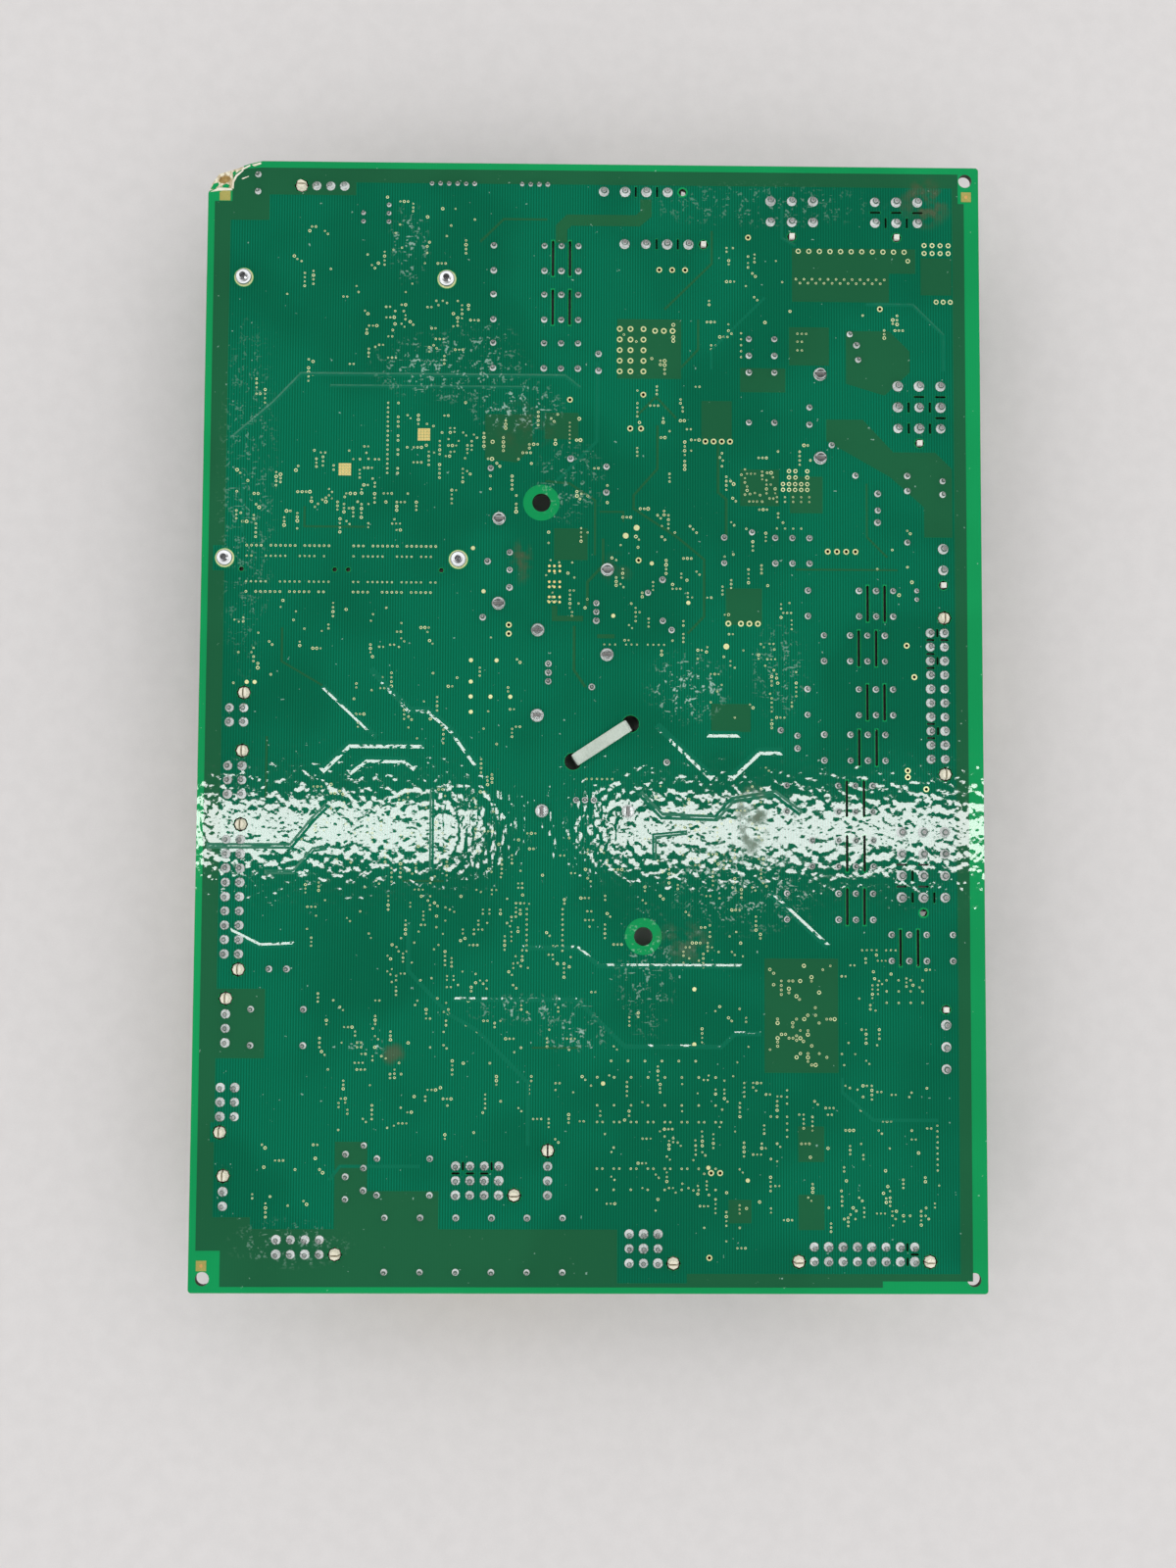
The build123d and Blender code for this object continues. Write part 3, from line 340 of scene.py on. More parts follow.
@dataclass(frozen=True)
class Fleck:
    """Noise that is cut to a smooth band, for marks with a size, a detail and a direction."""

    size: float
    detail: float
    low: float
    high: float
    stretch: Sequence[float] = EVEN

    def draw(self, sheet: ShaderSheet) -> Socket:
        """Return the marks in a shader, from 0 to 1."""
        return sheet.band(sheet.noise(self.size, self.detail, self.stretch), self.low, self.high)


GRIT = Fleck(0.8, 8.0, 0.49, 0.60)
STROKES = Fleck(3.0, 6.0, 0.52, 0.58, (1.4, 0.9, 1.0))
HAIRS = Fleck(2.2, 4.0, 0.66, 0.70, (0.6, 3.0, 1.0))
SPECKS = Fleck(1.4, 2.0, 0.74, 0.78)
STAINS = Fleck(4.2, 5.0, 0.40, 0.66)
FIBRE = Fleck(0.5, 5.0, 0.35, 0.65, (1.0, 1.0, 6.0))
WEAVE = Fleck(0.7, 6.0, 0.38, 0.62, (1.0, 0.4, 1.0))


@dataclass(frozen=True)
class MaskFinish:
    """The glossy green coat of the board, over hatched copper, solid copper or bare laminate."""

    name: str
    colour: Colour
    line_colour: Colour
    line_share: float
    core: bool = False
    line_pitch: float = 0.78
    scuff_colour: Colour = (0.42, 0.62, 0.54)
    stain_colour: Colour = (0.070, 0.072, 0.030)
    bore_shade_colour: Colour = (0.02, 0.022, 0.010)
    edge_colours: tuple = ((0.16, 0.40, 0.22), (0.30, 0.52, 0.34))
    torn_colours: tuple = ((0.46, 0.36, 0.20), (0.78, 0.74, 0.58))
    rim: float = 0.8
    corner: Place = (16.5, 10.5)

    def make(self) -> bpy.types.Material:
        """Make the material.

        Returns:
            A new material with this finish.
        """
        sheet = ShaderSheet(self.name)
        waves = sheet.times(sheet.axes.outputs["X"], 2 * math.pi / (self.line_pitch * MM))
        lines = sheet.band(sheet.math("SINE", waves), -0.6, 0.8)
        broad = sheet.noise(46.0, 2.0)
        wrinkle = sheet.noise(2.3, 0.7, (1.2, 0.9, 1.0))
        swell = sheet.noise(14.0, 1.0)
        colour = sheet.mix(sheet.times(lines, self.line_share), self.colour, self.line_colour)
        darker = tuple(channel * 0.80 for channel in self.colour)
        colour = sheet.mix(sheet.times(sheet.band(broad, 0.42, 0.62), 0.45), colour, darker)
        rough = sheet.math("ADD", 0.025, sheet.times(broad, 0.02))
        colour, rough = self.wear(sheet, colour, rough)
        if self.core:
            colour, rough = self.cut_edges(sheet, colour, rough)
        sheet.link(colour, sheet.shader.inputs["Base Color"])
        sheet.link(rough, sheet.shader.inputs["Roughness"])
        grain = sheet.noise(0.9, 1.0)
        sheet.bump([(lines, 0.0005), (wrinkle, 0.068), (grain, 0.006), (swell, 0.03)])
        return sheet.material

    def wear(self, sheet: ShaderSheet, colour: Socket, rough: Socket) -> tuple[Socket, Socket]:
        """Scuff and stain the coat.

        Args:
            sheet: the shader to add to.
            colour: the colour of the clean coat.
            rough: its roughness.

        Returns:
            The new colour and roughness.
        """
        marks = sheet.times(GRIT.draw(sheet), STROKES.draw(sheet))
        marks = sheet.math("MAXIMUM", marks, HAIRS.draw(sheet))
        scuffed = sheet.times(marks, spot_share(sheet, WHITE_SCUFFS))
        scuffed = sheet.math("MAXIMUM", sheet.times(scuffed, 0.62),
                             sheet.times(SPECKS.draw(sheet), 0.5))
        colour = sheet.mix(scuffed, colour, self.scuff_colour)
        stain = sheet.times(STAINS.draw(sheet), spot_share(sheet, BROWN_STAINS))
        colour = sheet.mix(sheet.times(stain, 0.75, clamp=True), colour, self.stain_colour)
        dulled = sheet.math("MAXIMUM", sheet.times(scuffed, 0.5), sheet.times(stain, 0.30))
        return colour, sheet.math("ADD", rough, dulled, clamp=True)

    def cut_edges(self, sheet: ShaderSheet, colour: Socket, rough: Socket) -> tuple[Socket, Socket]:
        """Colour the cut edges and the torn corner, and paint the walls of the holes near black as
        shade.

        Args:
            sheet: the shader to add to.
            colour: the colour of the coated faces.
            rough: the roughness of the coated faces.

        Returns:
            The new colour and roughness.
        """
        geometry = sheet.tree.nodes.new("ShaderNodeNewGeometry")
        facing = sheet.tree.nodes.new("ShaderNodeSeparateXYZ")
        sheet.link(geometry.outputs["True Normal"], facing.inputs[0])
        side = sheet.band(sheet.math("ABSOLUTE", facing.outputs["Z"]), 0.6, 0.4)
        x_axis, y_axis, z_axis = (sheet.axes.outputs[name] for name in "XYZ")
        out_right = sheet.math("GREATER_THAN", sheet.math("ABSOLUTE", x_axis),
                               (HALF_WIDTH - self.rim) * MM)
        out_down = sheet.math("GREATER_THAN", sheet.math("ABSOLUTE", y_axis),
                              (HALF_LENGTH - self.rim) * MM)
        corner = sheet.times(
            sheet.math("LESS_THAN", x_axis, (self.corner[0] - HALF_WIDTH) * MM),
            sheet.math("GREATER_THAN", y_axis, (HALF_LENGTH - self.corner[1]) * MM))
        edge = sheet.mix(FIBRE.draw(sheet), *self.edge_colours)
        # Walls inside the board, away from its outer edges, get painted shade; the outer cut edges
        # keep their fibre colours.
        wall = sheet.mix(sheet.math("MAXIMUM", out_right, out_down), self.bore_shade_colour, edge)
        torn_colour = sheet.mix(WEAVE.draw(sheet), *self.torn_colours)
        wall = sheet.mix(corner, wall, torn_colour)
        colour = sheet.mix(side, colour, wall)
        low, start, end, high = (height * MM for height in TORN_FLOOR)
        torn = sheet.times(sheet.band(z_axis, high, end), sheet.band(z_axis, low, start))
        torn = sheet.times(torn, corner)
        colour = sheet.mix(torn, colour, torn_colour)
        cut = sheet.times(sheet.math("MAXIMUM", torn, side), 0.5)
        return colour, sheet.math("ADD", rough, cut, clamp=True)


TORN_FLOOR = (26.4, 26.5, 26.75, 26.85)
HATCH_GREEN = MaskFinish("coat_over_hatch", (0.0005, 0.108, 0.05), (0.002, 0.192, 0.104),
                         line_share=0.8)
SOLID_GREEN = MaskFinish("coat_over_copper", (0.012, 0.112, 0.046), (0.014, 0.122, 0.052),
                         line_share=0.3)
BARE_GREEN = MaskFinish("coat_over_laminate", (0.006, 0.3, 0.09), (0.01, 0.33, 0.1), line_share=0.2,
                        core=True)
# The coat over the ridges is lighter than the coat around it: painted sheen for the light that the
# ridges' edges catch, besides the real reflections of their swells.
RIDGE_SHEEN_GREEN = MaskFinish("coat_over_traces_painted_sheen", (0.003, 0.15, 0.078), (0.005, 0.17, 0.09),
                         line_share=0.2)
DARK_TRACE_GREEN = MaskFinish("coat_over_wide_traces", (0.014, 0.118, 0.046), (0.016, 0.125, 0.05),
                              line_share=0.1)
GOLD = Finish("pad_gold", (0.8, 0.84, 0.45), (0.7, 0.72, 0.34), 0.34, 0.35, relief=0.004)
PAD_DOT = Finish("pad_dot", (0.8, 0.48, 0.16), (0.62, 0.34, 0.1), 0.4, 0.4, relief=0.004)
WARM_GOLD = Finish("pad_warm_gold", (0.96, 0.84, 0.36), (0.84, 0.7, 0.26), 0.34, 0.35, relief=0.004)
OLD_GOLD = Finish("pad_old_gold", (0.5, 0.46, 0.13), (0.4, 0.36, 0.09), 0.34, 0.35, relief=0.004)
VIA_GOLD = Finish("via_gold", (0.78, 0.83, 0.47), (0.6, 0.66, 0.33), 0.4, 0.35, relief=0.004)
# Painted shade: the dark eye of a via stands in for the shade inside its small hole.
VIA_HOLE_SHADE = Finish("via_hole_painted_shade", (0.06, 0.08, 0.03), (0.12, 0.14, 0.05), 0.5, relief=0.004)
TORN_BROWN = Finish("torn_layers", (0.5, 0.34, 0.11), (0.3, 0.18, 0.05), 0.6, grain=Grain.CAST,
                    relief=0.06)
TORN_CREAM = Finish("torn_glass_cloth", (0.8, 0.78, 0.66), (0.62, 0.56, 0.4), 0.6, grain=Grain.CAST,
                    relief=0.05)
# Painted shade: the near-black colour of the discs that stand in for the shade inside the open
# holes.
PAINTED_BORE_SHADE = Finish("hole_shade", (0.012, 0.011, 0.01), (0.02, 0.018, 0.015), 0.7)
SOLDER = Finish("solder_bright", (0.48, 0.51, 0.5), (0.26, 0.28, 0.27), 0.24, 0.95, relief=0.03)
LEAD_END = Finish("lead_cut_end", (0.4, 0.39, 0.38), (0.2, 0.195, 0.19), 0.45, 0.6, relief=0.02)
SCREW = Finish("screw_zinc", (0.72, 0.73, 0.74), (0.52, 0.53, 0.55), 0.22, 1.0, Grain.BRUSHED,
               0.006)
NYLON = Finish("tie_nylon", (0.53, 0.6, 0.53), (0.42, 0.49, 0.42), 0.3, relief=0.04,
               seen_through=0.15)
# Both header finishes paint shade on their top face under the board.
CREAM = Finish("header_cream", (0.8, 0.76, 0.62), (0.68, 0.64, 0.5), 0.42, seen_through=0.1,
               seat=25.4)
NATURAL = Finish("header_natural", (0.78, 0.77, 0.7), (0.66, 0.65, 0.58), 0.4, seen_through=0.1,
                 seat=25.4)
RELAY_CASE = Finish("relay_case", (0.03, 0.032, 0.036), (0.05, 0.052, 0.058), 0.4, relief=0.02)
ANODISED = Finish("heatsink_black", (0.025, 0.025, 0.027), (0.045, 0.045, 0.05), 0.42, 0.6,
                  Grain.BRUSHED, 0.02)
CHIP = Finish("package_black", (0.022, 0.022, 0.023), (0.035, 0.035, 0.036), 0.55, relief=0.02)
PIN = Finish("pin_tinned", (0.7, 0.68, 0.62), (0.55, 0.53, 0.48), 0.28, 1.0, Grain.BRUSHED, 0.004)
FILM = Finish("film_case", (0.5, 0.38, 0.04), (0.4, 0.3, 0.03), 0.38, relief=0.02)
CHOKE = Finish("choke_ferrite", (0.05, 0.048, 0.046), (0.08, 0.076, 0.072), 0.6, grain=Grain.CAST,
               relief=0.04)
VARISTOR = Finish("varistor_coat", (0.03, 0.1, 0.34), (0.02, 0.075, 0.26), 0.5, grain=Grain.CAST,
                  relief=0.05)
SLEEVE = Finish("can_sleeve", (0.02, 0.025, 0.045), (0.03, 0.036, 0.06), 0.3, coat=0.3)
RING = Finish("ring_coat", (0.1, 0.22, 0.13), (0.07, 0.17, 0.1), 0.45, grain=Grain.CAST,
              relief=0.03)
WIRE = Finish("winding_wire", (0.62, 0.22, 0.07), (0.45, 0.15, 0.045), 0.25, 0.9, relief=0.01,
              coat=0.6)
CONNECTOR = Finish("connector_dark", (0.1, 0.085, 0.06), (0.075, 0.062, 0.045), 0.45)


@dataclass(frozen=True)
class HeaderSpot:
    """Where a header's pins, pegs and slots are on the board."""

    power: bool
    right: float
    down: float
    columns: int
    rows: int
    pegs: tuple = ()
    upright: tuple = ()
    level: tuple = ()

    @property
    def pitch(self) -> float:
        """Return the distance between pins."""
        return 6.35 if self.power else 4.14

    def pin(self, column: float, row: float) -> Place:
        """Return the place of a pin."""
        return self.right + column * self.pitch, self.down + row * self.pitch

    def pins(self) -> list[Place]:
        """Return the places of all pins."""
        return [self.pin(column, row) for column in range(self.columns) for row in range(self.rows)]


HEADERS = (
    *(HeaderSpot(True, *row) for row in (
        (117.8, 8.3, 4, 1, ((141.3, 8.3),), ((1, 0), (2, 0))),
        (124.05, 24.2, 4, 1, ((147.55, 24.2),), ((1, 0), (2, 0))),
        (167.65, 10.7, 3, 2, ((174, 21.5),)),
        (198.95, 10.7, 3, 2, ((205.3, 21.5),), ((0, 1), (1, 1)), ((0, 0), (1, 0), (2, 0))),
        (205.45, 66.6, 3, 3, ((211.8, 83.75),), ((0, 1), (1, 1), (0, 2), (1, 2)), ((1, 0),
         (2, 0), (2, 1))),
        (218.6, 115.4, 1, 2, ((218.6, 126.2),)),
        (205.7, 199.1, 3, 4, ((212.05, 222.6),), ((0, 2), (0, 3), (1, 3)), ((0, 1), (1, 1),
         (0, 2), (1, 2))),
        (218.4, 255.1, 1, 3, ((218.4, 250.65),)),
    )),
    *(HeaderSpot(False, *row) for row in (
        (32.2, 7.4, 3, 1, ((27.75, 7.4),)), (9, 163.7, 2, 2, ((13.14, 159.25),)),
        (8.8, 180.7, 2, 3, ((12.94, 176.25),)),
        (8.7, 202.2, 2, 9, ((12.84, 197.75), (12.84, 239.77))),
        (9.4, 252.6, 1, 3, ((9.4, 248.15),)), (8.3, 273.7, 2, 3, ((8.3, 286.43),)),
        (9.5, 303.3, 1, 2, ((9.5, 298.85),)), (25, 316.9, 4, 2, ((41.87, 321.04),)),
        (76.3, 295.9, 4, 3, ((93.17, 304.18),), ((0, 0), (2, 0)), ((0, 0), (1, 0), (2, 0))),
        (102.8, 295.9, 1, 3, ((102.8, 291.45),)), (126.4, 315.1, 3, 3, ((139.13, 323.38),)),
        (179.8, 318.7, 8, 2, ((175.35, 322.84), (213.23, 322.84)), ((6, 0), (6, 1)), ((7, 0),)),
        (214.6, 140.4, 2, 10, ((218.74, 135.95), (218.74, 182.11)), ((0, 0), (0, 2), (0, 7)),
         ((0, 0), (1, 0), (0, 1), (0, 2), (0, 6), (0, 7))),
    )),
)


@dataclass(frozen=True)
class RelaySpot:
    """Where a relay's pins are: its first coil pin and its heading."""

    right: float
    down: float
    long: bool = True
    heading: tuple = (1, 0)
    slotted: bool = True
    row_gap: float = 7.6

    @property
    def contacts(self) -> tuple[float, float, float]:
        """Return the distances of the contact pins from the coil pins."""
        return (15.1, 20.15, 25.2) if self.long else (7.7, 12.8, 17.95)

    def place(self, along: float, across: float) -> Place:
        """Return a place along and across the heading."""
        side = (abs(self.heading[1]), abs(self.heading[0]))
        return (self.right + self.heading[0] * along + side[0] * across,
                self.down + self.heading[1] * along + side[1] * across)

    def pins(self) -> list[Place]:
        """Return the places of all eight pins."""
        return [self.place(along, across)
                for along in (0.0, *self.contacts) for across in (0.0, self.row_gap)]

    def slots(self) -> list[Place]:
        """Return the centres of the slots between the contacts."""
        first, second, third = self.contacts
        middles = ((first + second) / 2, (second + third) / 2) if self.slotted else ()
        return [self.place(along, self.row_gap / 2) for along in middles]


RELAYS = (
    RelaySpot(85.1, 25), RelaySpot(85.1, 39.8), RelaySpot(85.1, 54.5, slotted=False),
    RelaySpot(153.8, 112.4, slotted=False), RelaySpot(161.1, 77.9, heading=(0, -1), slotted=False),
    RelaySpot(178.5, 128), RelaySpot(178.3, 157.2), RelaySpot(172.1, 185.6),
    RelaySpot(172.1, 217.1), RelaySpot(183.2, 141.3, long=False),
    RelaySpot(183.2, 170.6, long=False), RelaySpot(179.5, 201.6, long=False),
    RelaySpot(220.6, 229, long=False, heading=(-1, 0)),
)

HEATSINK_PINS = (
    (87.3, 107.2), (87.3, 132.4), (98.9, 140.2), (98.9, 165.4), (119.3, 122.2), (119.3, 147.4),
    (100.45, 193.4), (125.65, 193.4), (182.3, 63.2), (182.3, 88.4),
)
TURNED_PINS = (6, 7)
LONE_LEADS = (
    (90.5, 117.3), (90.5, 122.5), (90.5, 127.7), (102.1, 150.2), (102.1, 152.8), (102.1, 155.4),
    (116.1, 132.2), (116.1, 134.8), (116.1, 137.4), (110.45, 190.2), (113.05, 190.2),
    (115.65, 190.2), (179.1, 73.2), (179.1, 78.4), (116.4, 57.6), (116.4, 62.7), (118.9, 91.5),
    (118.9, 99.2), (21.7, 239.6), (26.8, 239.6), (131.3, 129), (135.6, 125.1), (135.7, 137.3),
    (138.3, 140), (208.1, 93.6), (208.1, 98.1), (199.3, 99), (199.3, 104), (175.3, 171),
    (175.3, 174.7), (218.6, 95.1), (218.6, 99.1), (14.75, 4.1), (14.75, 9.25), (193.2, 54.3),
    (193.7, 58.7), (84.7, 92.2), (108.3, 89.2), (191.2, 51), (192.7, 93.6), (199.2, 107.6),
    (208, 113.5), (170.4, 169.4), (84, 120), (82.7, 136.6), (162, 110.8), (185.7, 84.5),
    (136.93, 179.03), (114.87, 156.97), (44.6, 292.6), (49.8, 290.1), (44.6, 299), (49.8, 296.5),
    (44.6, 305.4), (49.8, 302.9), (53.65, 293.8), (53.65, 304.2), (68.85, 293.8), (68.85, 304.2),
    (16.65, 251.2), (16.65, 261.6), (31.85, 251.2), (31.85, 261.6),
)
FILM_LEADS = tuple((56.0 + 10.24 * index, down) for index in range(6) for down in (310.6, 326.0))
STRIP_PINS = (
    (46.2, 15.5), (46.2, 18.04), (53.8, 13.0), (53.8, 15.54), (53.8, 18.08), (210.7, 127.9),
    (210.7, 130.44), *((66.5 + 2.54 * index, 6.3) for index in range(6)),
    *((93.4 + 2.54 * index, 6.3) for index in range(4)),
)
CENTRE_HOLES = ((99.75, 102.4), (130.2, 229.8))
TIE_HOLES = ((126.3, 167.8), (109.5, 178.9))
SCREWS = ((11.0, 35.4), (71.2, 35.4), (6.8, 119.5), (75.4, 119.5))
SMALL_PEG_HOLES = ((11.78, 122.75), (39.13, 122.75), (43.08, 122.75), (70.43, 122.75))
RIM_PEGS = ((27.75, 7.4), (9.4, 248.15), (41.87, 321.04))


class MeshShop:
    """Makes finished pieces from bmesh work."""

    @staticmethod
    def finish(bm: Work, name: str, materials: Sequence[bpy.types.Material], slot: str,
               smooth: bool = False) -> bpy.types.Object:
        """Turn a bmesh into a piece that rides on the board.

        Args:
            bm: the work, which is freed.
            name: the piece's name.
            materials: its materials, by index.
            slot: the record's material slot; not used.
            smooth: whether its faces are shaded smooth.

        Returns:
            The new object.
        """
        mesh = bpy.data.meshes.new(name)
        for face in bm.faces:
            face.smooth = smooth
        bm.to_mesh(mesh)
        bm.free()
        for material in materials:
            mesh.materials.append(material)
        piece = bpy.data.objects.new(name, mesh)
        bpy.context.scene.collection.objects.link(piece)
        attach(piece, BODY)
        LOG.info("%s: %d faces", name, len(mesh.polygons))
        return piece

    @staticmethod
    def ring_points(place: Place, radius: float, sides: int = 16) -> list[Place]:
        """Return the corners of a round opening."""
        return [(place[0] + radius * math.cos(2 * math.pi * i / sides),
                 place[1] + radius * math.sin(2 * math.pi * i / sides)) for i in range(sides)]

    @staticmethod
    def box_points(place: Place, width: float, length: float) -> list[Place]:
        """Return the corners of a rectangle round a place."""
        half_w, half_l = width / 2, length / 2
        return [(place[0] + i * half_w, place[1] + j * half_l)
                for i, j in ((-1, -1), (1, -1), (1, 1), (-1, 1))]

    @staticmethod
    def strip_points(path: Sequence[Place], width: float) -> list[Place]:
        """Work out the outline of a strip of even width along a path.

        Args:
            path: the middle line.
            width: the width of the strip.

        Returns:
            The corners of the outline.
        """
        left, right = [], []
        for index, place in enumerate(path):
            before = Vector(path[max(index - 1, 0)])
            after = Vector(path[min(index + 1, len(path) - 1)])
            here = Vector(place)
            first = ((here - before) if (here - before).length else (after - here)).normalized()
            second = (after - here).normalized() if (after - here).length else first
            side = (Vector((-first.y, first.x)) + Vector((-second.y, second.x))).normalized()
            grow = width / 2 / max(0.4, side.dot(Vector((-first.y, first.x))))
            left.append(tuple(here + side * grow))
            right.append(tuple(here - side * grow))
        return left + right[::-1]

    @staticmethod
    def pick(made: dict, kind: type) -> list:
        """Return the items of one kind that an operator gave back."""
        return [item for item in made["geom"] if isinstance(item, kind)]

    @staticmethod
    def closed_loop(bm: Work, points: Iterable[Vector]) -> list[bmesh.types.BMEdge]:
        """Return the edges of a new closed loop."""
        corners = [bm.verts.new(point) for point in points]
        return [bm.edges.new((corners[i - 1], corners[i])) for i in range(len(corners))]

    @staticmethod
    def ring_edges(ring: Sequence[bmesh.types.BMVert]) -> list[bmesh.types.BMEdge]:
        """Return the edges that join the corners of a ring to each other."""
        return [edge for edge in {e for corner in ring for e in corner.link_edges}
                if all(corner in ring for corner in edge.verts)]

    @classmethod
    def fill(cls, bm: Work, edges: list[bmesh.types.BMEdge],
             normal: Sequence[float] = UP) -> list[bmesh.types.BMFace]:
        """Return the new faces between an outline and its openings."""
        filled = bmesh.ops.triangle_fill(bm, edges=edges, use_beauty=True, use_dissolve=False,
                                         normal=normal)
        return cls.pick(filled, bmesh.types.BMFace)

    @staticmethod
    def soften(bm: Work, edges: list[bmesh.types.BMEdge], offset: float, segments: int) -> None:
        """Bevel edges.

        Args:
            bm: the work.
            edges: the edges.
            offset: the width of the bevel in millimetres.
            segments: its number of steps.
        """
        bmesh.ops.bevel(bm, geom=edges, offset=offset * MM, offset_type="OFFSET",
                        segments=segments, profile=0.5, affect="EDGES", material=-1)

    @classmethod
    def block(cls, bm: Work, seat: Matrix, size: Sequence[float], offset: float,
              segments: int) -> None:
        """Add a block with softened edges.

        Args:
            bm: the work.
            seat: the place and turn of its centre.
            size: its three sides in millimetres.
            offset: the width of its bevels in millimetres.
            segments: their number of steps.
        """
        made = bmesh.ops.create_cube(bm, size=MM, matrix=seat @ Matrix.Diagonal((*size, 1.0)))
        edges = list({edge for corner in made["verts"] for edge in corner.link_edges})
        cls.soften(bm, edges, offset, segments)

    @classmethod
    def plate(cls, bm: Work, loops: Iterable[Sequence[Place]], bottom: float, top: float) -> None:
        """Add a flat plate with openings.

        Args:
            bm: the work.
            loops: the outline, then each opening.
            bottom: the height of its underside in millimetres.
            top: the height of its upper side in millimetres.
        """
        edges = []
        for loop in loops:
            edges += cls.closed_loop(bm, [at(place, bottom) for place in loop])
        faces = cls.fill(bm, edges)
        raised = bmesh.ops.extrude_face_region(bm, geom=faces, use_keep_orig=True)
        corners = cls.pick(raised, bmesh.types.BMVert)
        bmesh.ops.translate(bm, verts=corners, vec=(0, 0, (top - bottom) * MM))
        sides = {face for corner in corners for face in corner.link_faces}
        sides.update(cls.pick(raised, bmesh.types.BMFace), faces)
        bmesh.ops.recalc_face_normals(bm, faces=list(sides))

    @classmethod
    def shell(cls, bm: Work, circles: Iterable[tuple[float, Matrix]],
              sides: int) -> list[list[bmesh.types.BMVert]]:
        """Join circles into a shell that is closed at its foot.

        Args:
            bm: the work.
            circles: the radius in millimetres and the seat of each circle, from the foot on.
            sides: the number of corners of each circle.

        Returns:
            The corners of each circle.
        """
        rings = []
        for radius, seat in circles:
            made = bmesh.ops.create_circle(bm, segments=sides, radius=radius * MM, matrix=seat)
            rings.append(made["verts"])
        for lower, upper in zip(rings, rings[1:]):
            bmesh.ops.bridge_loops(bm, edges=cls.ring_edges(lower) + cls.ring_edges(upper))
        bm.faces.new(rings[0])
        return rings


class Heap:
    """Gathers many small shapes in short runs, since work in one large bmesh slows down."""

    run: int = 24

    def __init__(self) -> None:
        """Start with an empty total and an empty run."""
        self.total = bmesh.new()
        self.part = bmesh.new()
        self.count = 0

    def next(self) -> Work:
        """Count a shape, and pour the run when it is full.

        Returns:
            The bmesh that takes the shape.
        """
        self.count += 1
        if self.count % self.run == 0:
            self.pour()
        return self.part

    def pour(self) -> None:
        """Move the run's shapes to the total."""
        mesh = bpy.data.meshes.new("run")
        self.part.to_mesh(mesh)
        self.total.from_mesh(mesh)
        bpy.data.meshes.remove(mesh)
        self.part.free()
        self.part = bmesh.new()

    def done(self) -> Work:
        """Return the total."""
        self.pour()
        self.part.free()
        return self.total


PERIMETER = (
    (16, 2), (223.8, 2), (223.8, 11), (225.6, 11), (225.6, 328.4), (199.5, 328.4), (199.5, 330.2),
    (9, 330.2), (9, 320), (2, 320), (2, 12.3), (7.2, 12.3), (7.2, 8.8), (7.5, 4.6), (10.6, 2.4),
)
HATCH_FIELD = (
    (44, 6.3), (222, 6.3), (222, 326.3), (143, 326.3), (143, 329), (123, 329), (123, 313.8),
    (71.5, 313.8), (71.5, 303), (50.9, 303), (50.9, 289), (41.5, 289), (41.5, 313.8), (17.5, 313.8),
    (17.5, 310.5), (6.8, 310.5), (6.8, 289.2), (5.6, 289.2), (5.6, 283.6), (6.8, 283.6),
    (6.8, 265.3), (20.8, 265.3), (20.8, 245.3), (6.8, 245.3), (6.8, 123.2), (3.4, 123.2),
    (3.4, 115.8), (6.8, 115.8), (6.8, 18), (18.3, 18), (18.3, 10.2), (44, 10.2),
)
SOLID_FIELDS = (
    ((122, 47), (141, 47), (141, 65), (122, 65)),
    ((174, 25), (211, 25), (211, 32.5), (203, 32.5), (203, 41.3), (174, 41.3)),
    ((212.5, 27.6), (221.7, 27.6), (221.7, 39), (212.5, 39)),
    ((100.6, 75.4), (110.6, 75.4), (110.6, 83.4), (100.6, 83.4)),
    ((83, 76), (97, 76), (97, 85.5), (92.5, 90.5), (83, 89.5)),
    ((147, 71.5), (156, 71.5), (156, 83), (147, 83)),
    ((158.5, 61.5), (172, 61.5), (172, 68.8), (158.5, 68.8)),
    ((158.5, 92), (170, 92), (170, 103), (158.5, 103)),
    ((173, 49), (185, 49), (185, 60.6), (173, 60.6)),
    ((190, 50), (203, 50), (209, 56), (209, 62.5), (201.5, 69.5), (190, 66)),
    ((184, 76.8), (195, 76.8), (204, 86.5), (216.5, 86.5), (221.4, 91.4), (221.4, 112),
     (213, 112), (213, 103), (203, 94), (184, 83.2)),
    ((103.5, 110), (113.5, 110), (113.5, 119.5), (103.5, 119.5)),
    ((154.2, 127.5), (165, 127.5), (165, 138.4), (154.2, 138.4)),
    ((150, 161.7), (161.5, 161.7), (161.5, 170), (150, 170)),
    ((165.5, 236), (187, 236), (187, 269), (165.5, 269)),
    ((175.2, 284.3), (182.8, 284.3), (182.8, 294.5), (175.2, 294.5)),
    ((175.2, 303.8), (182.8, 303.8), (182.8, 313.9), (175.2, 313.9)),
    ((155, 305.3), (161.7, 305.3), (161.7, 312), (155, 312)),
    ((173.2, 94), (183, 94), (183, 105), (173.2, 105)),
)
WIDE_TRACES = (
    (((105.2, 24), (105.2, 19.4), (107.5, 17.1), (128, 17.1), (130.4, 15), (130.4, 10.6)), 3.4),
    (((103.8, 133), (103.8, 136.8), (112.2, 136.8)), 1.6), (((116.4, 142), (121.5, 142)), 1.2),
)
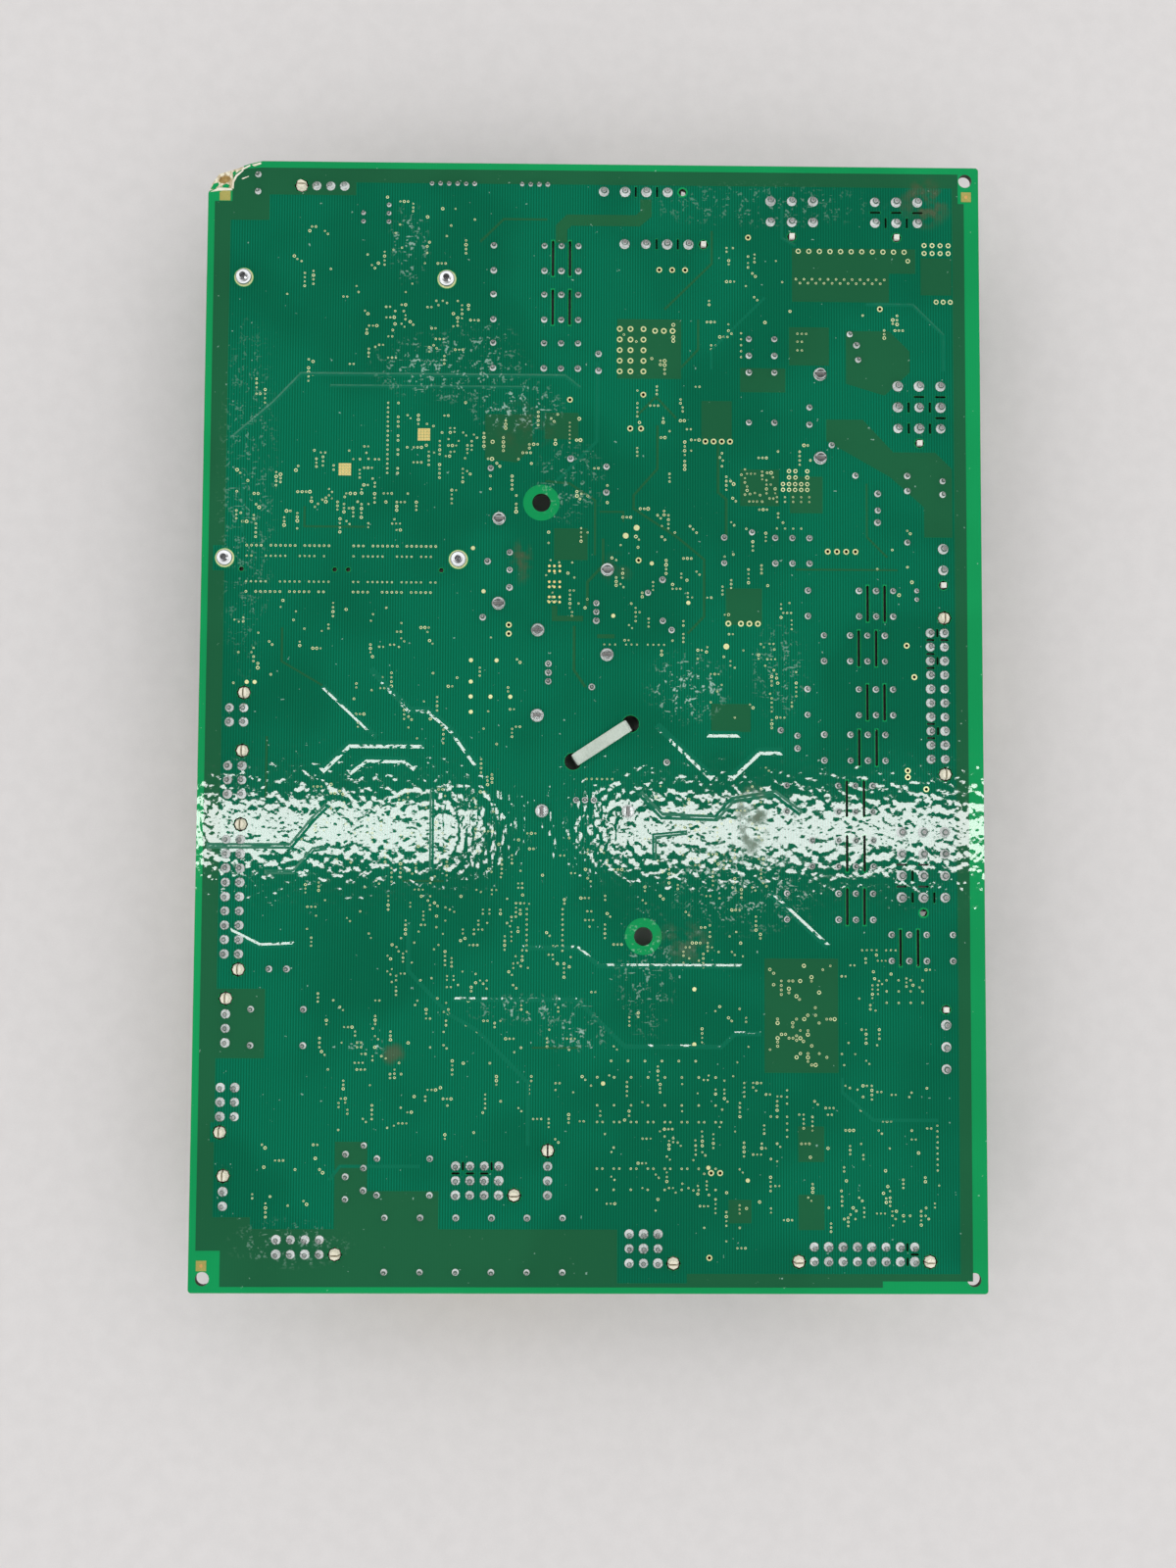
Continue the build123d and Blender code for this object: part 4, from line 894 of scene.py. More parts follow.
RIDGES = (
    (((8, 84), (20.5, 73), (28.5, 64.4), (106.5, 64.4), (111, 68)), 1.2, 0.095),
    (((37, 67.9), (96, 67.9)), 0.9, 0.07), (((36, 182), (44, 174.2), (66, 174.2)), 2.2, 0.044),
    (((44, 182.5), (49, 178.6), (60.5, 178.8), (63.5, 181.2)), 2, 0.034),
    (((36, 157), (52, 172)), 1.5, 0.056),
    (((50, 152), (61.5, 164), (67, 164), (74, 170), (82, 181)), 1.9, 0.062),
    (((134, 168), (150.5, 183.6)), 2.1, 0.054),
    (((155.5, 183.6), (164, 175.6), (171, 175.6)), 2.2, 0.048),
    (((148.5, 170.6), (158.5, 170.6)), 2, 0.045),
    (((10, 228.5), (19, 233), (29, 232.5)), 1.6, 0.042),
    (((20, 211.5), (28.5, 211.5), (34, 205), (38, 204.5)), 1.4, 0.22),
    (((3, 204), (27.5, 204), (34, 196), (38, 192)), 1.7, 0.27),
    (((68.4, 187), (68.4, 211)), 1.4, 0.22),
    (((129, 188), (135.6, 194.8), (151.4, 195.3), (156.2, 189.9), (168.6, 187.9),
     (176.4, 193.9)), 1.9, 0.3),
    (((133.4, 207.8), (133.4, 200.5), (143, 199.5)), 1.4, 0.22),
    (((95, 233.2), (111, 233.2), (117.5, 238.4), (159, 238.4)), 1.4, 0.04),
    (((75, 248.2), (111, 248.2), (125, 261.6), (153, 261.6), (157, 257.8),
     (164.6, 257.8)), 1.3, 0.05),
    (((62, 226), (62, 240), (74, 252.5), (82, 257), (97, 272), (97, 290)), 1.2, 0.04),
    (((167, 217), (184, 232.6)), 1.8, 0.054), (((40, 300), (43, 296), (66, 296)), 1, 0.03),
    (((188, 270.4), (188, 274.5), (197, 282.5), (216, 282.5)), 1, 0.03),
    (((116, 60), (116, 84), (104, 96)), 0.9, 0.03),
    (((196, 42), (210, 42), (219, 51), (219, 62)), 1, 0.04),
    (((171, 12), (171, 22), (175, 24.2)), 0.9, 0.03),
    (((150, 62), (150, 56), (166, 40)), 0.8, 0.03), (((12, 96), (12, 112)), 0.9, 0.03),
)
OLIVE_LINES = (
    (((100.9, 96), (108, 96.6), (115.6, 101.6), (115.6, 118)), 0.7),
    (((128, 76), (133.5, 70.4), (139.5, 76.8)), 0.7),
    (((134, 79), (134, 92), (127, 100), (127, 104), (140, 112.5), (147.8, 119), (147.8, 136),
     (143, 141)), 0.7),
    (((152, 84), (152, 99), (154.4, 101), (154.4, 112)), 0.8),
    (((118, 113), (118, 121), (113.4, 126), (113.4, 133)), 0.8),
    (((109.6, 139), (109.6, 152), (113, 157)), 0.8), (((20, 172), (20, 190)), 0.6),
    (((117, 105), (124, 105), (124, 108)), 0.6), (((175, 121.8), (205, 121.8)), 0.6),
    (((101, 17), (88, 17), (81, 24)), 0.7), (((136, 44), (150, 30), (150, 20)), 0.7),
    (((146, 47), (146, 56), (141, 61.5)), 0.7), (((30, 104), (30, 110), (48, 110)), 0.6),
    (((98, 262), (112, 262)), 0.6), (((60, 214), (72, 214)), 0.6),
    (((196, 96), (196, 112), (202, 118)), 0.6), (((24, 140), (24, 150), (36, 157)), 0.6),
)
CORNER_HOLE = (4.65, 5.5)
TORN_HOLE = (1.95, 1.45)
CORNER_GOLD = ((3.4, 9.6), (4.3, 9.1), (6.6, 9.2), (6.6, 12.1), (3.4, 12.1))
CORNER_SCRAPS = (
    ((0.6, 8.7), (1.5, 7), (2.9, 6.6), (3.1, 7.4), (1.9, 8.6)),
    ((4, 7.6), (5.2, 6.9), (6.3, 7.4), (5.9, 8.3), (4.5, 8.4)),
    ((7, 3.6), (7.9, 2.9), (8.1, 3.6), (7.3, 4.3)),
)
CORNER_CLOTH = (
    (((0.5, 9.6), (3, 8.2), (6.8, 8.4), (7.2, 9), (3.2, 9.2)), -0.3, 0.02),
    (((7, 8.4), (7.1, 6.2), (8, 4.4), (10.2, 2.7), (10.4, 3), (8.5, 4.8), (7.6, 6.6),
     (7.5, 8.6)), -0.3, 0.05),
    (((9.4, 2.6), (12.2, 1.2), (12.4, 1.6), (10, 2.9)), -0.3, 0.04),
    (((12.8, 1.2), (15.4, 0.4), (15.6, 0.9), (13.4, 1.7)), -0.02, 0.05),
    (((9.8, 5.4), (11.9, 4.6), (12, 4.8), (10.1, 5.7)), -0.02, 0.05),
)


@dataclass
class CoatedFace:
    """The coated upper face: the copper fields that show through the coat, and their ridges, whose
    lighter coat is painted sheen.
    """

    top: float
    field_height: float = 0.03
    solid_height: float = 0.034
    trace_height: float = 0.045
    flank_share: float = 0.45
    gap: float = 0.04
    slot_width: float = 0.68
    power_slot: float = 3.48
    signal_slot: float = 2.78
    relay_slot: tuple = (1.2, 11.4)
    power_peg: float = 1.6
    signal_peg: float = 2.2

    def openings(self) -> list[list[Place]]:
        """Lay out the openings in the hatched copper.

        Returns:
            The outlines round slots, pegs and holes.
        """
        loops = []
        for header in HEADERS:
            length = self.power_slot if header.power else self.signal_slot
            radius = self.power_peg if header.power else self.signal_peg
            loops += [MeshShop.box_points(header.pin(column + 0.5, row), self.slot_width, length)
                      for column, row in header.upright]
            loops += [MeshShop.box_points(header.pin(column, row + 0.5), length, self.slot_width)
                      for column, row in header.level]
            loops += [MeshShop.ring_points(peg, radius)
                      for peg in header.pegs if peg not in RIM_PEGS]
        loops += [MeshShop.box_points(place, *self.relay_slot)
                  for relay in RELAYS for place in relay.slots()]
        for places, radius, sides in ((CENTRE_HOLES, 5.4, 40), (TIE_HOLES, 2.7, 24),
                                      (SCREWS, 3.0, 28), (SMALL_PEG_HOLES, 0.9, 10)):
            loops += [MeshShop.ring_points(place, radius, sides) for place in places]
        return loops

    def build(self) -> None:
        """Build the fields and the ridges."""
        shrunk = [[self.shrink(loop, self.gap)] for loop in SOLID_FIELDS]
        lines = [MeshShop.strip_points(path, width) for path, width in WIDE_TRACES + OLIVE_LINES]
        rim = [PERIMETER, self.shrink(HATCH_FIELD, -self.gap)]
        rim += [MeshShop.ring_points(peg, self.signal_peg) for peg in RIM_PEGS]
        self.plates("hatched_copper_field", HATCH_GREEN,
                    [([HATCH_FIELD, *SOLID_FIELDS, *self.openings()], -SINK, self.field_height)])
        self.plates("solid_copper_fields", SOLID_GREEN,
                    [(loops, -SINK, self.solid_height) for loops in [rim, *shrunk]])
        self.plates("wide_traces", DARK_TRACE_GREEN,
                    [([loop], -SINK, self.trace_height) for loop in lines])
        bm = bmesh.new()
        for path, width, height in RIDGES:
            self.ridge(bm, MeshShop.strip_points(path, width), width, height)
        # The ridges' lighter colour is painted sheen.
        MeshShop.finish(bm, "trace_ridges", [RIDGE_SHEEN_GREEN.make()], "board_laminate")
        self.torn_bits()

    def plates(self, name: str, finish: Finish | MaskFinish, plates: Iterable[tuple],
               slot: str = "board_laminate") -> None:
        """Build a piece of flat plates.

        Args:
            name: the piece's name.
            finish: its finish.
            plates: the loops, the lowest and the highest height of each plate, from the upper face.
            slot: the record's material slot.
        """
        bm = bmesh.new()
        for loops, low, high in plates:
            MeshShop.plate(bm, loops, self.top + low, self.top + high)
        MeshShop.finish(bm, name, [finish.make()], slot)

    def ridge(self, bm: Work, outline: Sequence[Place], width: float, height: float) -> None:
        """Add a trace whose coat swells over it, flat at the middle and thin at its sides.

        Args:
            bm: the work.
            outline: the outline of the swell.
            width: the width of the swell.
            height: the height of the swell.
        """
        foot = self.top + self.field_height
        faces = MeshShop.fill(bm, MeshShop.closed_loop(bm, [at(place, foot) for place in outline]))
        bmesh.ops.inset_region(bm, faces=faces, thickness=width * self.flank_share * MM, depth=0.0,
                               use_boundary=True, use_even_offset=True)
        lifted = list({corner for face in faces for corner in face.verts})
        bmesh.ops.translate(bm, verts=lifted, vec=(0, 0, height * MM))

    def torn_bits(self) -> None:
        """Build what is left in the torn corner: scraps, cloth, the torn hole and its gold."""
        angles = [step * math.pi / 12 for step in range(24)]
        hole = [(CORNER_HOLE[0] + TORN_HOLE[0] * math.cos(angle),
                 CORNER_HOLE[1] + TORN_HOLE[1] * math.sin(angle)) for angle in angles]
        self.plates("corner_coat_scraps", BARE_GREEN,
                    [([loop], -0.32, -0.12) for loop in CORNER_SCRAPS])
        self.plates("corner_cloth", TORN_CREAM,
                    [([loop], low, high) for loop, low, high in CORNER_CLOTH])
        self.plates("corner_torn_layers", TORN_BROWN, [([hole], -1.5, -0.9)])
        self.plates("corner_gold_remnant", OLD_GOLD, [([CORNER_GOLD], -SINK, 0.05)],
                    "contact_metal")

    @staticmethod
    def shrink(loop: Sequence[Place], inset: float) -> list[Place]:
        """Move an outline inwards.

        Args:
            loop: the outline.
            inset: how far it moves, outwards when negative.

        Returns:
            The moved outline.
        """
        points = [Vector(place) for place in loop]
        area = sum(points[i - 1].cross(points[i]) for i in range(len(points)))
        turn = 1.0 if area > 0 else -1.0
        moved = []
        for i, here in enumerate(points):
            before = (here - points[i - 1]).normalized()
            after = (points[(i + 1) % len(points)] - here).normalized()
            inward = (Vector((-before.y, before.x)) + Vector((-after.y, after.x))) * turn
            reach = inset / max(0.3, (1 + before.dot(after)) / 2) / 2
            moved.append(tuple(here + inward * reach))
        return moved


@dataclass(frozen=True)
class ViaRun:
    """A straight run of small plated holes."""

    right: float
    down: float
    count: int
    step_right: float
    step_down: float
    radius: float = 0.33
    skip: tuple = ()

    def places(self) -> list[Place]:
        """Return the places in the run."""
        return [(self.right + i * self.step_right, self.down + i * self.step_down)
                for i in range(self.count) if i not in self.skip]


@dataclass(frozen=True)
class ViaCloud:
    """A zone where small plated holes are scattered on a fine grid."""

    right: float
    down: float
    width: float
    length: float
    count: int
    radius: float = 0.33
    grid: float = 0.64

    def places(self, dice: random.Random) -> list[Place]:
        """Scatter the starts of short rows.

        Args:
            dice: the source of the draw.

        Returns:
            Every second place of the draw, none of them twice.
        """
        columns = max(1, int(self.width / self.grid))
        rows = max(1, int(self.length / self.grid))
        cells = dice.sample(range(columns * rows), min(self.count, columns * rows))
        return [(self.right + (cell % columns) * self.grid,
                 self.down + (cell // columns) * self.grid) for cell in cells[::2]]


VIA_RUNS = tuple(ViaRun(*row) for row in (
    (13.2, 115.7, 18, 1.42, 0, 0.42, (4, 11)), (13.2, 118.8, 17, 1.42, 0, 0.34, (2, 3, 9, 10, 15)),
    (13.2, 126.4, 18, 1.42, 0, 0.34, (5, 6, 12)), (13.2, 129.4, 17, 1.42, 0, 0.42, (1, 8, 14)),
    (44.6, 115.7, 18, 1.42, 0, 0.42, (3, 10)), (44.6, 118.8, 17, 1.42, 0, 0.34, (1, 7, 8, 13)),
    (44.6, 126.4, 18, 1.42, 0, 0.34, (2, 9, 15)), (44.6, 129.4, 17, 1.42, 0, 0.42, (4, 5, 11)),
    (175.9, 25.9, 11, 3.17, 0, 0.88), (175.2, 34.4, 12, 2.4, 0, 0.4),
    (176.4, 35.6, 11, 2.4, 0, 0.4), (54.2, 72.9, 16, 0, 1.4, 0.36),
    (57.25, 72.9, 16, 0, 1.4, 0.42, (1, 2, 6, 9, 12, 13)), (201.1, 242.2, 4, 3.5, 0, 0.36),
    (201.1, 245.4, 4, 3.5, 0, 0.36), (201.1, 248.7, 4, 3.5, 0, 0.36), (121, 265.7, 6, 4.9, 0, 0.4),
    (117, 270.4, 8, 4.9, 0, 0.4), (117, 278.4, 8, 4.9, 0, 0.36), (117, 283.2, 8, 4.9, 0, 0.36),
    (117, 296.5, 8, 4.9, 0, 0.36), (117, 302.5, 8, 4.9, 0, 0.36), (118.6, 296.5, 8, 4.9, 0, 0.36),
    (118.6, 283.2, 8, 4.9, 0, 0.36), (96.3, 222, 9, 0, 1.5, 0.34), (106.7, 222, 9, 0, 1.5, 0.34),
    (208.7, 28.6, 1, 0, 0, 0.8), (173, 92.4, 2, 1.9, 0, 0.72), (178.4, 92.4, 1, 0, 0, 0.72),
    (173, 94.3, 2, 1.9, 0, 0.72), (178.4, 94.3, 1, 0, 0, 0.72), (171.2, 96.3, 5, 1.8, 0, 0.72),
    (171.2, 98, 5, 1.8, 0, 0.72), (169.4, 100.2, 5, 2.4, 0, 0.34), (169.4, 101.6, 5, 2.4, 0, 0.34),
    (169.4, 109.6, 4, 2.4, 0, 0.34), (175.6, 51, 3, 1.3, 0, 0.36), (175.6, 53.4, 2, 1.3, 0, 0.36),
    (175.6, 56, 2, 1.3, 0, 0.36), (213.6, 23.8, 4, 2.4, 0, 0.85), (213.6, 26.2, 4, 2.4, 0, 0.85),
    (217.1, 41, 3, 2.1, 0, 0.85), (173.4, 44.2, 1, 0, 0, 0.5),
    (118.5, 144.4, 12, 1.6, 0, 0.3, (3, 7)), (113.5, 184, 6, 1.5, 0, 0.34),
    (158.8, 51, 5, 0, 1.8, 0.34), (194, 233.5, 10, 1.4, 0, 0.3, (4,)),
    (215.6, 284, 9, 0, 1.6, 0.32), (172, 274, 8, 0, 1.9, 0.32, (3,)), (108, 84.4, 6, 0, -1.2, 0.28),
))
VIA_CLOUDS = tuple(ViaCloud(*row) for row in (
    (22, 16, 30, 26, 34, 0.36), (52, 10, 10, 40, 26, 0.34), (64, 14, 16, 18, 28, 0.38),
    (47, 42, 34, 18, 74, 0.36), (28, 60, 18, 6, 12, 0.36), (14, 66, 6, 12, 6, 0.34),
    (60, 74, 14, 18, 46, 0.34), (72, 72, 10, 30, 30, 0.32), (32, 86, 20, 18, 70, 0.36),
    (10, 92, 30, 20, 52, 0.4), (36, 100, 34, 12, 44, 0.34), (82, 76, 16, 16, 22, 0.46),
    (98, 74, 14, 12, 12, 0.42), (84, 92, 36, 14, 30, 0.42), (10, 132, 36, 16, 40, 0.34),
    (48, 134, 26, 14, 34, 0.34), (44, 150, 34, 24, 44, 0.34), (10, 150, 18, 10, 8, 0.4),
    (82, 140, 12, 46, 30, 0.34), (100, 108, 16, 30, 44, 0.34), (120, 104, 28, 16, 34, 0.4),
    (120, 122, 30, 24, 60, 0.34), (128, 66, 18, 30, 44, 0.36), (148, 40, 20, 20, 24, 0.38),
    (150, 20, 22, 18, 22, 0.34), (190, 44, 24, 8, 10, 0.4), (122, 48, 18, 16, 20, 0.42),
    (148, 84, 34, 22, 42, 0.4), (158, 92, 12, 11, 36, 0.34), (152, 104, 20, 40, 40, 0.34),
    (146, 144, 24, 30, 48, 0.34), (166, 126, 10, 60, 26, 0.32), (192, 110, 18, 30, 14, 0.4),
    (30, 186, 60, 26, 110, 0.34), (56, 212, 40, 34, 190, 0.32), (30, 212, 24, 20, 30, 0.32),
    (88, 200, 22, 40, 60, 0.32), (130, 186, 36, 34, 130, 0.32), (112, 204, 12, 30, 30, 0.34),
    (140, 222, 26, 16, 50, 0.34), (166, 237, 20, 31, 86, 0.44, 1.1), (188, 236, 12, 40, 50, 0.32),
    (196, 234, 20, 12, 30, 0.32), (36, 246, 60, 44, 170, 0.34), (96, 244, 20, 46, 40, 0.34),
    (116, 250, 46, 40, 70, 0.32), (18, 288, 20, 22, 24, 0.36), (118, 286, 36, 24, 60, 0.32),
    (150, 270, 22, 40, 46, 0.32), (164, 272, 50, 40, 130, 0.34), (184, 296, 34, 18, 40, 0.34),
    (148, 296, 12, 24, 16, 0.34),
))
VIA_SIZES = (0.85, 0.95, 1.0, 1.05, 1.2, 1.5)
VIA_PATTERNS = (
    *[((0.0, 0.0), 1)] * 4, ((1.15, 0.0), 2), ((0.0, 1.15), 2), ((0.0, 1.15), 3), ((1.15, 0.0), 3),
    ((0.0, 1.3), 4), ((0.9, 0.9), 2),
)
PLATED_HOLES = tuple(ViaRun(*row) for row in (
    (134.4, 32, 3, 3.85, 0), (160.9, 21.9, 1, 0, 0), (200.25, 43.3, 1, 0, 0),
    (129.75, 69.8, 1, 0, 0), (125.9, 80, 2, 3.2, 0), (108, 71.5, 1, 0, 0), (122.7, 50, 5, 0, 3.2),
    (125.9, 50, 5, 0, 3.2), (129.75, 50, 5, 0, 3.2), (133.2, 50.5, 3, 2.6, 0),
    (148.2, 83.7, 4, 2.43, 0), (90.4, 138.8, 2, 0, 2.6), (128.5, 119.4, 1, 0, 0),
    (155, 138, 1, 0, 0), (158.7, 138, 3, 2.5, 0), (184.4, 116.4, 4, 2.73, 0),
    (207.6, 144.2, 1, 0, 0), (209.8, 153.5, 1, 0, 0), (207.7, 181.1, 2, 0, 1.9),
    (213.1, 186.5, 1, 0, 0), (150, 297.7, 2, 2.6, 0), (149.5, 321.8, 1, 0, 0),
))
ROUND_PADS = (
    (124.7, 112.1, 0.85), (127.9, 109.7, 0.85), (154.4, 144.8, 0.85), (132.4, 120.3, 0.6),
    (143.2, 131.9, 0.6), (121.1, 135.9, 0.6), (145.1, 245, 0.6), (145.1, 260.9, 0.6),
    (118.7, 272.2, 0.6), (160.6, 299.8, 0.6), (149.2, 296.2, 0.6), (13.9, 156.1, 0.6),
    (16.2, 156.1, 0.6), (82.9, 128.9, 0.6), (79.7, 116.1, 0.6), (79.4, 149.3, 0.6),
    (86.9, 149.3, 0.6), (79.4, 155.6, 0.6), (79.4, 160, 0.6), (85.2, 160, 0.6), (91, 160, 0.6),
    (79.5, 164.5, 0.6),
)
SQUARE_PADS = ((226.3, 8.9, 3.2), (3.7, 324.3, 3.2), (41.7, 92.9, 3.7), (64.9, 82.3, 3.7))
PAIRED_PADS = tuple((right, down + shift) for right in (102.2, 103.7, 105.3)
                    for down in (122.0, 126.7, 131.2) for shift in (-0.75, 0.75))


@dataclass
class GoldWork:
    """Everything plated: small dots, open plated holes, pads and the rims of the larger holes."""

    top: float
    seed: int = 11
    height: float = 0.06
    dot_spacing: float = 1.12
    dot_clearance: float = 0.15
    dot_sides: int = 7
    rim_radius: float = 0.86
    bore_radius: float = 0.46
    screw_rim: float = 2.78
    screw_bore: float = 1.7
    blocked: list = field(default_factory=list)

    def free(self, place: Place, radius: float) -> bool:
        """Return whether a dot at a place stays clear of joints, slots and holes."""
        return all((place[0] - x) ** 2 + (place[1] - y) ** 2
                   > (reach + radius + self.dot_clearance) ** 2 for x, y, reach in self.blocked)

    def block(self) -> None:
        """Note what the scattered dots have to avoid, with the reach of each place."""
        for header in HEADERS:
            self.blocked += [(*pin, 1.8 if header.power else 1.5) for pin in header.pins()]
            self.blocked += [(*peg, 2.3) for peg in header.pegs]
        for relay in RELAYS:
            self.blocked += [(*pin, 1.2) for pin in relay.pins()]
            self.blocked += [(right, down + step, 1.0)
                             for right, down in relay.slots() for step in range(-6, 7)]
        first, second = TIE_HOLES
        band = [(first[0] + (second[0] - first[0]) * share,
                 first[1] + (second[1] - first[1]) * share)
                for share in (step / 12 for step in range(13))]
        holes = [place for run in PLATED_HOLES for place in run.places()]
        for places, reach in ((HEATSINK_PINS, 2.1), (LONE_LEADS + FILM_LEADS + STRIP_PINS, 1.2),
                              (CENTRE_HOLES, 5.6), (TIE_HOLES, 2.8), (SCREWS, 3.2), (band, 2.0),
                              (holes, 1.2)):
            self.blocked += [(*place, reach) for place in places]
        self.blocked += [(x, y, radius + 0.4) for x, y, radius in ROUND_PADS]
        self.blocked += [(x, y, size * 0.75) for x, y, size in SQUARE_PADS]

    def scatter(self) -> list[tuple[Place, float]]:
        """Choose the places of the small dots: the counted runs, then the scattered rows.

        Returns:
            The place and radius of each dot.
        """
        dice = random.Random(self.seed)
        spots = [(place, run.radius) for run in VIA_RUNS for place in run.places()
                 if self.free(place, run.radius)]
        for cloud in VIA_CLOUDS:
            for place in cloud.places(dice):
                step, count = dice.choice(VIA_PATTERNS)
                for index in range(count):
                    spot = (place[0] + index * step[0], place[1] + index * step[1])
                    clear = all((spot[0] - x) ** 2 + (spot[1] - y) ** 2 > self.dot_spacing ** 2
                                for (x, y), _ in spots)
                    if clear and self.free(spot, cloud.radius):
                        spots.append((spot, cloud.radius * dice.choice(VIA_SIZES)))
        return spots

    def dots(self) -> None:
        """Build the small plated dots, each with a sunken dark eye that is painted shade for its
        hole.
        """
        heap = Heap()
        for place, size in self.scatter():
            bm = heap.next()
            seat = Matrix.Translation(at(place, self.top + self.height / 2))
            made = bmesh.ops.create_cone(bm, cap_ends=True, segments=self.dot_sides,
                                         radius1=size * MM, radius2=size * 0.85 * MM,
                                         depth=self.height * MM, matrix=seat)
            caps = [face for face in {f for v in made["verts"] for f in v.link_faces}
                    if face.normal.z > 0.9]
            bmesh.ops.inset_individual(bm, faces=caps, thickness=size * 0.42 * MM,
                                       depth=-self.height * 0.6 * MM)
            # The eye takes the painted shade of the via's hole.
            for face in caps:
                face.material_index = 1
        MeshShop.finish(heap.done(), "via_dots", [VIA_GOLD.make(), VIA_HOLE_SHADE.make()], "contact_metal")

    def flat(self, bm: Work, loops: Sequence[Sequence[Place]]) -> None:
        """Add a plate of the plating's own height."""
        MeshShop.plate(bm, loops, self.top - SINK, self.top + self.height)

    def rings(self) -> None:
        """Build the open plated holes and round pads: gold rims, then near-black discs in the bores
        as painted shade.
        """
        holes = [place for run in PLATED_HOLES for place in run.places()]
        rims = [[MeshShop.ring_points(place, self.rim_radius, 20),
                 MeshShop.ring_points(place, self.bore_radius, 14)] for place in holes]
        rims += [[MeshShop.ring_points((x, y), radius, 20)] for x, y, radius in ROUND_PADS]
        rims += [[MeshShop.ring_points(place, self.screw_rim, 36),
                  MeshShop.ring_points(place, self.screw_bore, 24)] for place in SCREWS]
        heap = Heap()
        for loops in rims:
            self.flat(heap.next(), loops)
        MeshShop.finish(heap.done(), "plated_rims", [GOLD.make()], "contact_metal")
        # Painted shade: a near-black disc fills each bore, standing in for the shade inside the
        # hole.
        heap = Heap()
        for place in holes:
            MeshShop.plate(heap.next(), [MeshShop.ring_points(place, self.bore_radius + 0.03, 14)],
                           self.top - SINK, self.top + self.height / 2)
        MeshShop.finish(heap.done(), "bore_shade_discs", [PAINTED_BORE_SHADE.make()], "board_laminate")

    def square(self, heap: Heap, place: Place, step: float, finish: int) -> None:
        """Add one square of a pad, with a copper dot on it.

        Args:
            heap: the heap that takes it.
            place: its centre.
            step: the distance to the next square.
            finish: the index of its finish.
        """
        parts = (
            (MeshShop.box_points(place, step * 0.92, step * 0.92), -SINK, 0.0, finish),
            (MeshShop.ring_points(place, step * 0.17, 10), 0.0, 0.01, 1),
        )
        for loop, low, proud, index in parts:
            bm = heap.next()
            before = len(bm.faces)
            MeshShop.plate(bm, [loop], self.top + low, self.top + self.height + proud)
            bm.faces.ensure_lookup_table()
            for face in bm.faces[before:]:
                face.material_index = index

    def squares(self) -> None:
        """Build the square pads, which are grids of small squares with narrow gaps."""
        heap = Heap()
        for right, down, size in SQUARE_PADS:
            cells = 1 if size < 3.5 else 4
            step = size / cells
            for i in range(cells):
                for j in range(cells):
                    place = (right - size / 2 + (i + 0.5) * step,
                             down - size / 2 + (j + 0.5) * step)
                    self.square(heap, place, step, 2 if cells == 1 else 0)
        for place in PAIRED_PADS:
            self.flat(heap.next(), [MeshShop.ring_points(place, 0.4, 10)])
        finishes = [WARM_GOLD.make(), PAD_DOT.make(), OLD_GOLD.make()]
        MeshShop.finish(heap.done(), "square_pads", finishes, "contact_metal")

    def build(self) -> None:
        """Build all plated work."""
        self.block()
        self.dots()
        self.rings()
        self.squares()


